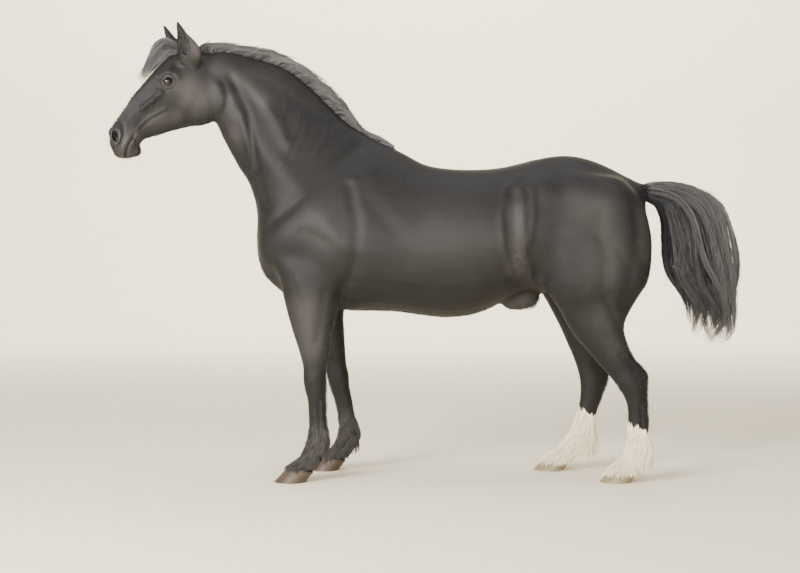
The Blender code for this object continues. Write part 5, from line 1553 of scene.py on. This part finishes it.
def fur_values(points):
    """How thick the tufts grow at each point, from 0 to 1, how long they are and how far they stand."""
    x, y, z = points.T
    folded = np.column_stack([x, np.abs(y), z])
    on_face = (x < -1.14) & (z > FACE_FOOT)
    amount = np.zeros(len(points))
    length = np.where(on_face, FUR_LONG["face"], np.where(z < FEET_TOP, FUR_LONG["feet"], FUR_LONG["body"]))
    stand = np.full(len(points), FUR_STAND)
    for line, width, most, longest, steepest in FUR_LINES:
        near = fade(folded, line, width)
        amount = np.maximum(amount, most * near)
        length = length * (1 - near) + longest * near
        stand = stand * (1 - near) + steepest * near
    length = np.where((x < -1.17) & (z > EAR_FOOT), FUR_LONG["face"], length)
    amount = amount * (1 - 0.95 * bare_field(points)) * (z > 0.10)
    return amount, length, stand


def lie_of(points):
    """The way the hair lies: down the face, back along the neck and body, and down the legs."""
    x, y, z = points.T
    leg = leg_share(points)[:, None]
    neck = np.clip((-0.45 - x) / 0.4, 0, 1)[:, None]
    face_share = np.clip((-1.16 - x) / 0.12, 0, 1)[:, None] * (z < EAR_FOOT)[:, None]
    lie = LIES["body"] * (1 - neck) + LIES["neck"] * neck
    lie = lie * (1 - face_share) + LIES["face"] * face_share
    lie = np.where((x < -1.16)[:, None] & (z > EAR_FOOT)[:, None], LIES["ear"], lie)
    return lie * (1 - leg) + LIES["leg"] * leg


def growth_tree():
    """Nodes that grow tufts on a skin, as its own values of amount, length, stand and lie say."""
    tree = bpy.data.node_groups.new("fur_growth", "GeometryNodeTree")
    sockets = [("Skin", "Geometry"), ("Tuft", "Object"), ("Most", "Float"), ("Uneven", "Float"),
               ("Stray", "Float"), ("Seed", "Int"), ("Fur", "Material")]
    for name, kind in sockets:
        tree.interface.new_socket(name, in_out="INPUT", socket_type="NodeSocket" + kind)
    tree.interface.new_socket("Fur", in_out="OUTPUT", socket_type="NodeSocketGeometry")
    grow = Graph(tree)
    given = tree.nodes.new("NodeGroupInput").outputs
    most, uneven, stray = (Wire(grow, given[name]) for name in ("Most", "Uneven", "Stray"))

    def value(name, kind="FLOAT"):
        return grow.node("GeometryNodeInputNamedAttribute", {"data_type": kind}, {"Name": name})

    def drawn(low, high, seed):
        return grow.node("FunctionNodeRandomValue", {}, {2: low, 3: high, 8: seed}, 1)

    skin = Wire(grow, given["Skin"])
    places = {"Mesh": skin, "Density": value("amount") * most, "Seed": Wire(grow, given["Seed"])}
    points = grow.node("GeometryNodeDistributePointsOnFaces", {}, places)
    normal = Wire(grow, points.socket.node.outputs["Normal"])
    root = {"Geometry": points, "Name": "root", "Value": grow.node("GeometryNodeInputPosition", {}, {})}
    points = grow.node("GeometryNodeStoreNamedAttribute", {"data_type": "FLOAT_VECTOR"}, root)
    upright = grow.node("FunctionNodeAlignRotationToVector", {"axis": "Z"}, {"Vector": normal})
    lie = {"Rotation": upright, "Vector": value("lie", "FLOAT_VECTOR")}
    lying = grow.node("FunctionNodeAlignRotationToVector", {"axis": "X", "pivot_axis": "Z"}, lie)
    tilt = value("stand") * drawn(-1.4, -0.4, 2)
    turn = grow.node("ShaderNodeCombineXYZ", {}, {"Y": tilt, "Z": drawn(-1.0, 1.0, 3) * stray})
    lean = {"Rotation": lying, "Rotate By": turn}
    leaning = grow.node("FunctionNodeRotateRotation", {"rotation_space": "LOCAL"}, lean)
    size = value("length") * (1 + uneven * drawn(-1.0, 1.0, 4))
    tuft = grow.node("GeometryNodeObjectInfo", {}, {"Object": Wire(grow, given["Tuft"])}, "Geometry")
    tufts = {"Points": points, "Instance": tuft, "Rotation": leaning, "Scale": size}
    tufts = grow.node("GeometryNodeInstanceOnPoints", {}, tufts)
    mesh = grow.node("GeometryNodeRealizeInstances", {}, {"Geometry": tufts})
    painted = {"Geometry": mesh, "Material": Wire(grow, given["Fur"])}
    mesh = grow.node("GeometryNodeSetMaterial", {}, painted)
    grow.feed(tree.nodes.new("NodeGroupOutput").inputs["Fur"], mesh)
    return tree


def in_zone(zone, points):
    x, z = points[:, 0], points[:, 2]
    low = z < LEG_FUR_TOP
    front = x < FRONT_END
    return {"legs": low, "front": ~low & front, "rear": ~low & ~front}[zone]


def fur_pieces(bed, material):
    """The tufts of short fur, in three pieces, grown on a copy of the straight skin."""
    points = read_points(bed.data)
    amount, length, stand = fur_values(points)
    add_values(bed.data, amount=amount, length=length, stand=stand)
    lie = bed.data.attributes.new("lie", "FLOAT_VECTOR", "POINT")
    lie.data.foreach_set("vector", lie_of(points).astype(np.float32).ravel())
    tuft, tree = tuft_object(), growth_tree()
    keys = {item.name: item.identifier for item in tree.interface.items_tree if item.in_out == "INPUT"}
    pieces = []
    for seed, (zone, most) in enumerate(FUR_MOST.items()):
        here = (amount * in_zone(zone, points)).astype(np.float32)
        bed.data.attributes["amount"].data.foreach_set("value", here)
        growth = bed.modifiers.new(zone, "NODES")
        growth.node_group = tree
        given = {"Tuft": tuft, "Most": most, "Uneven": TUFT_UNEVEN, "Stray": TUFT_STRAY,
                 "Seed": seed, "Fur": material}
        for name, value in given.items():
            growth[keys[name]] = value
        graph = bpy.context.evaluated_depsgraph_get()
        mesh = bpy.data.meshes.new_from_object(bed.evaluated_get(graph))
        bed.modifiers.clear()
        pieces.append(grown_piece("fur_" + zone, mesh))
    bpy.data.objects.remove(bed)
    bpy.data.objects.remove(tuft)
    return pieces


def grown_piece(name, grown):
    """The realized tufts as a piece of the coat, each on its own patch, on the turned horse."""

    def read(key):
        return layer_values(grown.attributes[key].data, "value")

    roots = layer_values(grown.attributes["root"].data, "vector", 3)
    patch = np.stack([read("patch_u"), read("patch_v")], axis=1)
    faces = layer_values(grown.loops, "vertex_index", 1, np.int32).reshape(-1, 3)
    uv = unwrapped(roots) + UV_PATCH * patch
    values = {key: read(key) for key in ("white", "bare", "crease", "faded", "leg", "along")}
    piece = coat_mesh(name, turned(read_points(grown)), faces, uv, values, smooth=False)
    bpy.data.meshes.remove(grown)
    return piece


# Hoofs and eyes


def hoof_piece(name):
    """A horn box with a flat sole, wider at the ground than at the coronet."""
    (fx, fz), (rx, rz) = CORONETS[name]
    toe, heel = SOLES[name]
    low, middle, high = HOOF_HALF
    slope = (rz - fz) / (rx - fx)
    top = (fx - CORONET_RIM, fz - slope * CORONET_RIM - GAP)
    back = (rx + CORONET_RIM, rz + slope * CORONET_RIM - GAP)
    slices = [
        (toe + HORN_INSET, 0.0, heel - HORN_INSET, 0.0, low - HORN_INSET, -0.08, LEG_Y),
        (toe * 0.5 + fx * 0.5, fz / 2, heel * 0.5 + rx * 0.5, rz / 2, middle, -0.05, LEG_Y),
        (*top, *back, high, 0.0, LEG_Y),
    ]
    obj = as_object("horn_" + name, loft(slices, side_of(name), count=72, between=8))
    obj.data.shade_smooth()
    obj.data.set_sharp_from_angle(angle=SOLE_EDGE)
    return obj


def eye_piece(name):
    """An eyeball: its place is the solid's, and its grid is fine enough to look round."""
    shape = bmesh.new()
    place = Matrix.Translation(solid_middle(name))
    bmesh.ops.create_icosphere(shape, subdivisions=5, radius=EYE_RADIUS, matrix=place)
    obj = as_object("globe_" + name, shape)
    obj.data.shade_smooth()
    return obj


# Finishes


class Wire:
    """A socket of a tree of nodes that sums, products and powers can be written with."""

    def __init__(self, graph, socket):
        self.graph, self.socket = graph, socket

    def maths(self, operation, *values):
        return self.graph.node("ShaderNodeMath", {"operation": operation}, dict(enumerate(values)))

    def __add__(self, other):
        return self.maths("ADD", self, other)

    def __sub__(self, other):
        return self.maths("SUBTRACT", self, other)

    def __rsub__(self, other):
        return self.maths("SUBTRACT", other, self)

    def __mul__(self, other):
        return self.maths("MULTIPLY", self, other)

    def __truediv__(self, other):
        return self.maths("DIVIDE", self, other)

    def __pow__(self, other):
        return self.maths("POWER", self, other)

    __radd__ = __add__
    __rmul__ = __mul__

    def clamped(self):
        return self.graph.node("ShaderNodeClamp", {}, {0: self})

    def ramp(self, low, high):
        """0 below low to 1 above high, eased."""
        settings = {"interpolation_type": "SMOOTHSTEP"}
        return self.graph.node("ShaderNodeMapRange", settings, {0: self, 1: low, 2: high})


class Graph:
    """A tree of nodes, wired in code."""

    def __init__(self, tree):
        self.tree = tree

    def feed(self, socket, value):
        if isinstance(value, Wire):
            self.tree.links.new(value.socket, socket)
        else:
            socket.default_value = value

    def node(self, kind, settings, inputs, output=0):
        made = self.tree.nodes.new(kind)
        for name, value in settings.items():
            setattr(made, name, value)
        for name, value in inputs.items():
            self.feed(made.inputs[name], value)
        return Wire(self, made.outputs[output])


class Finish(Graph):
    """One material, wired in code."""

    def __init__(self, name, **constants):
        self.material = bpy.data.materials.new(name)
        self.material.use_nodes = True
        super().__init__(self.material.node_tree)
        self.shader = self.tree.nodes["Principled BSDF"]
        for socket, value in constants.items():
            self.shader.inputs[socket.replace("_", " ")].default_value = value

    def place(self):
        return self.node("ShaderNodeTexCoord", {}, {}, "Object")

    def value(self, name):
        return self.node("ShaderNodeAttribute", {"attribute_name": name}, {}, "Fac")

    def stretched(self, scale):
        return self.node("ShaderNodeMapping", {}, {"Vector": self.place(), "Scale": scale})

    def noise(self, scale, size=1.0, detail=3.0, rough=0.5):
        """Noise that is finer along the axes with a larger scale."""
        inputs = {"Vector": self.stretched(scale), "Scale": size, "Detail": detail, "Roughness": rough}
        return self.node("ShaderNodeTexNoise", {}, inputs, "Fac")

    def mix(self, factor, a, b):
        """From colour a to colour b."""
        settings = {"data_type": "RGBA"}
        return self.node("ShaderNodeMix", settings, {0: factor, 6: a, 7: b}, 2)

    def bump(self, height, distance, strength=1.0):
        inputs = {"Height": height, "Distance": distance, "Strength": strength}
        self.wire("Normal", self.node("ShaderNodeBump", {}, inputs))

    def wire(self, socket, value):
        self.feed(self.shader.inputs[socket], value)


def colour(*rgb):
    """A colour as the eye names it, from 0 to 255, as light."""
    return (*[((c / 255 + 0.055) / 1.055) ** 2.4 if c > 10 else c / 255 / 12.92 for c in rgb], 1.0)


COAT_TONES = (colour(12, 12, 12), colour(40, 39, 38))
# The tufts are painted lighter than the coat of the skin, to make up for the shade that falls on and
# between their hairs
TUFT_TONES = (colour(38, 37, 37), colour(64, 62, 61))
# The dark of the painted shade in the line between the lips and in the nostrils
PAINTED_CREASE_SHADE = colour(12, 10, 10)
WHITE_COAT = colour(250, 239, 210)
STAINED_WHITE = colour(232, 215, 180)
BARE_SKIN = colour(60, 57, 55)
# The lighter tone of the painted highlights
HIGHLIGHT_TONE = colour(96, 92, 89)
HAIR_DARK = colour(20, 20, 21)
HAIR_LIGHT = colour(118, 117, 116)
# The hair of the legs is painted lighter than the coat, to make up for the shade that falls between its
# strands
LEG_HAIR = (colour(46, 43, 42), colour(80, 76, 73))
PALE_HORN = (colour(150, 136, 106), colour(106, 92, 70))
DARK_HORN = (colour(88, 71, 58), colour(56, 46, 38))
IRIS = (colour(26, 16, 11), colour(12, 8, 6))
PUPIL = colour(8, 9, 12)
EYE_RIM = colour(140, 128, 118)
PALE_FLOOR = colour(240, 229, 206)


def coat_finish(name, tones, bump=True):
    """The short coat: dark and satin, with painted highlights, painted shade at the lips and nostrils, and
    white markings whose edges break up into hairs.
    """
    fur = Finish(name, Roughness=0.7, Metallic=0.0, Specular_IOR_Level=0.15)
    leg = fur.value("leg")
    body_hair = fur.noise((60, 240, 240), detail=4.0)
    leg_hair = fur.noise((240, 240, 60), detail=4.0)
    hair = body_hair * (1 - leg) + leg_hair * leg
    patches = fur.noise((5, 5, 5), detail=4.0)
    sweep = fur.noise((7, 18, 26), detail=5.0, rough=0.6)
    streaks = fur.noise((70, 70, 9), detail=3.0, rough=0.6)
    edge = fur.value("white") + (hair - 0.5) * 0.03 + ((streaks - 0.5) * 0.11) * leg
    white = (edge + (patches - 0.5) * 0.02).ramp(-0.005, 0.005)
    bare, crease = fur.value("bare"), fur.value("crease")
    tone = (patches * 0.25 + sweep * 0.35 + hair * 0.6 - 0.16).clamped()
    # Painted highlights: the coat is lightened where light falls on the cheek, ear, neck, shoulder, flank,
    # quarters and legs
    faded = fur.value("faded") * (0.55 + patches * 0.3 + hair * 0.4)
    dark = fur.mix(faded * 0.36, fur.mix(tone, *tones), HIGHLIGHT_TONE)
    dark = fur.mix(bare * 0.75, dark, BARE_SKIN)
    # Painted shade: the line between the lips and the nostrils are darkened
    dark = fur.mix(crease, dark, PAINTED_CREASE_SHADE)
    pale = fur.mix((hair * 0.8).clamped(), WHITE_COAT, STAINED_WHITE)
    fur.wire("Base Color", fur.mix(white, dark, pale))
    fur.wire("Roughness", 0.46 + hair * 0.14 - bare * 0.05)
    if bump:
        fur.bump(hair, 0.0014, 0.35)
    return fur.material


def hair_finish(name, dark, light):
    """Long hair: strands from dark to light, with white ones on the socks."""
    hair = Finish(name, Roughness=0.5, Metallic=0.0, Specular_IOR_Level=0.35)
    shade, along = hair.value("shade"), hair.value("along")
    grain = hair.noise((140, 140, 30), detail=2.0)
    tone = (shade * 0.8 + along * 0.2 + grain * 0.35 - 0.25).clamped()
    plain = hair.mix(tone, dark, light)
    white = hair.value("white").ramp(-0.012, 0.006)
    pale = hair.mix((1 - shade) * 0.6, WHITE_COAT, STAINED_WHITE)
    hair.wire("Base Color", hair.mix(white, plain, pale))
    hair.wire("Roughness", 0.46 + 0.15 * grain)
    return hair.material


def horn_finish(name, pale, dark):
    """Hoof horn: growth rings round the wall and fine lines down it."""
    horn = Finish(name, Roughness=0.45, Metallic=0.0, Specular_IOR_Level=0.3)
    rings = horn.noise((6, 6, 150), detail=2.0)
    lines = horn.noise((160, 160, 12), detail=2.0)
    horn.wire("Base Color", horn.mix((rings * 0.7 + lines * 0.5 - 0.1).clamped(), pale, dark))
    horn.wire("Roughness", 0.38 + lines * 0.2)
    horn.bump(rings * 0.8 + lines * 0.4, 0.0012, 0.6)
    return horn.material


def eye_finish(name):
    """A dark brown iris round a wide pupil, under a wet surface, with a rim of white behind."""
    eye = Finish("wet_" + name, Roughness=0.10, Metallic=0.0, Specular_IOR_Level=0.3,
                 Coat_Weight=0.25, Coat_Roughness=0.02)
    moved = {"Vector": eye.place(), "Location": -solid_middle(name)}
    from_middle = eye.node("ShaderNodeMapping", {}, moved)
    turned_back = {"Vector": from_middle, "Rotation": (0, 0, -HEAD_TURN)}
    level = eye.node("ShaderNodeMapping", {}, turned_back)
    split = eye.node("ShaderNodeSeparateXYZ", {}, {0: level}).socket.node
    x, z = Wire(eye, split.outputs["X"]), Wire(eye, split.outputs["Z"])
    away = ((x * x + z * z) ** 0.5) / EYE_RADIUS
    streaks = eye.noise((400, 400, 400), detail=2.0)
    iris = eye.mix(streaks, *IRIS)
    pupil = ((x * x) * 0.45 + z * z) ** 0.5 / EYE_RADIUS
    inner = eye.mix(pupil.ramp(0.22, 0.27), PUPIL, iris)
    eye.wire("Base Color", eye.mix(away.ramp(0.84, 0.93), inner, EYE_RIM))
    return eye.material


def dressed(obj, material, replaced=()):
    """The piece with its material, riding on the one body and standing for its solids."""
    obj.data.materials.clear()
    obj.data.materials.append(material)
    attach(obj, "root")
    if replaced:
        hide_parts(*replaced)


# Floor, light and camera


def stage_floor():
    """A pale floor that rises behind into a plain wall."""
    shape = bmesh.new()
    bend = 3.0
    near, far, wide, tall = -16.0, 15.0, 26.0, 14.0
    profile = [(near, 0.0)]
    profile += [(far - bend + bend * math.sin(a), bend - bend * math.cos(a))
                for a in np.linspace(0, math.pi / 2, 16)]
    profile.append((far, tall))
    rows = [[shape.verts.new((x, y, z)) for y, z in profile] for x in (-wide, wide)]
    for i in range(len(profile) - 1):
        shape.faces.new((rows[0][i], rows[1][i], rows[1][i + 1], rows[0][i + 1]))
    floor = as_object("floor", shape)
    floor.data.shade_smooth()
    finish = Finish("pale_floor", Base_Color=PALE_FLOOR, Roughness=0.9, Metallic=0.0)
    floor.data.materials.append(finish.material)


def aimed(name, data, place, aim):
    """A lamp or a camera at a place, turned to what it aims at."""
    obj = linked(name, data)
    obj.location = place
    obj.rotation_mode = "QUATERNION"
    obj.rotation_quaternion = (Vector(aim) - Vector(place)).to_track_quat("-Z", "Y")
    return obj


def area_light(name, place, aim, size, power, tint):
    lamp = bpy.data.lights.new(name, "AREA")
    lamp.shape = "RECTANGLE"
    lamp.size, lamp.size_y = size
    lamp.energy = power
    lamp.color = tint
    aimed(name, lamp, place, aim)


def light_and_camera():
    world = bpy.data.worlds.new("world")
    world.use_nodes = True
    background = world.node_tree.nodes["Background"]
    background.inputs["Color"].default_value = WORLD_COLOUR
    background.inputs["Strength"].default_value = WORLD_STRENGTH
    bpy.context.scene.world = world
    for name, lamp in LAMPS.items():
        area_light(name, *lamp)
    camera = bpy.data.cameras.new("camera")
    camera.lens, camera.sensor_width = CAMERA_LENS, SENSOR_WIDTH
    bpy.context.scene.camera = aimed("camera", camera, CAMERA_PLACE, CAMERA_AIM)


# The photo's scale at the middle of the horse, in metres a pixel, and the view that gives it
PHOTO_SCALE = 0.0053
CAMERA_PLACE = (-0.1325, -8.0, 1.3)
CAMERA_AIM = (-0.1325, 0.0, 1.006)
PHOTO_WIDTH = 800
SENSOR_WIDTH = 36.0
CAMERA_LENS = SENSOR_WIDTH * 8.0 / (PHOTO_WIDTH * PHOTO_SCALE)

WORLD_COLOUR = colour(244, 240, 232)
WORLD_STRENGTH = 0.55
WARM, PURE = (1.0, 0.98, 0.95), (1.0, 1.0, 1.0)
# Lamps: place, aim, size, power in watts and tint
LAMPS = {
    "key": ((-4.6, -6.0, 3.6), (0.0, 0.0, 1.2), (4.0, 3.0), 1350, WARM),
    "fill": ((0.8, -8.8, 2.4), (0.2, 0.0, 1.2), (6.0, 2.5), 760, WARM),
    "top": ((0.0, 0.5, 6.0), (0.0, 0.0, 1.0), (8.0, 4.0), 240, PURE),
    "backdrop": ((0.0, 8.5, 8.0), (0.0, 15.0, 2.5), (20.0, 4.0), 3300, PURE),
}


def main():
    coat = coat_finish("coat", COAT_TONES)
    tufts = coat_finish("tufts", TUFT_TONES, bump=False)
    hair = hair_finish("hair", HAIR_DARK, HAIR_LIGHT)
    leg_hair = hair_finish("leg_hair", *LEG_HAIR)
    skin, bed, tree = skin_piece()
    flesh_nodes = ["head", "neck", "trunk", "ear_left", "ear_right"]
    flesh_nodes += [n for leg in LEGS for n in (leg, "lower_" + leg)]
    dressed(skin, coat, replaced=flesh_nodes)
    for piece in fur_pieces(bed, tufts):
        dressed(piece, tufts)
    for piece in tail_pieces():
        dressed(piece, hair, replaced=["tail"])
    for piece in [forelock_piece(), face_hair_piece(tree), *mane_pieces(tree)]:
        dressed(piece, hair)
    horns = {"hind": horn_finish("pale_horn", *PALE_HORN), "fore": horn_finish("dark_horn", *DARK_HORN)}
    for name in LEGS:
        kind = name[:4]
        hoof = hoof_piece(name)
        horn_tree = tree_of(hoof)
        dressed(hoof, horns[kind], replaced=["hoof_" + name])
        dressed(feather_piece(name, tree, horn_tree), leg_hair)
    for name in EYES.values():
        dressed(eye_piece(name), eye_finish(name), replaced=[name])
    stage_floor()
    light_and_camera()


main()
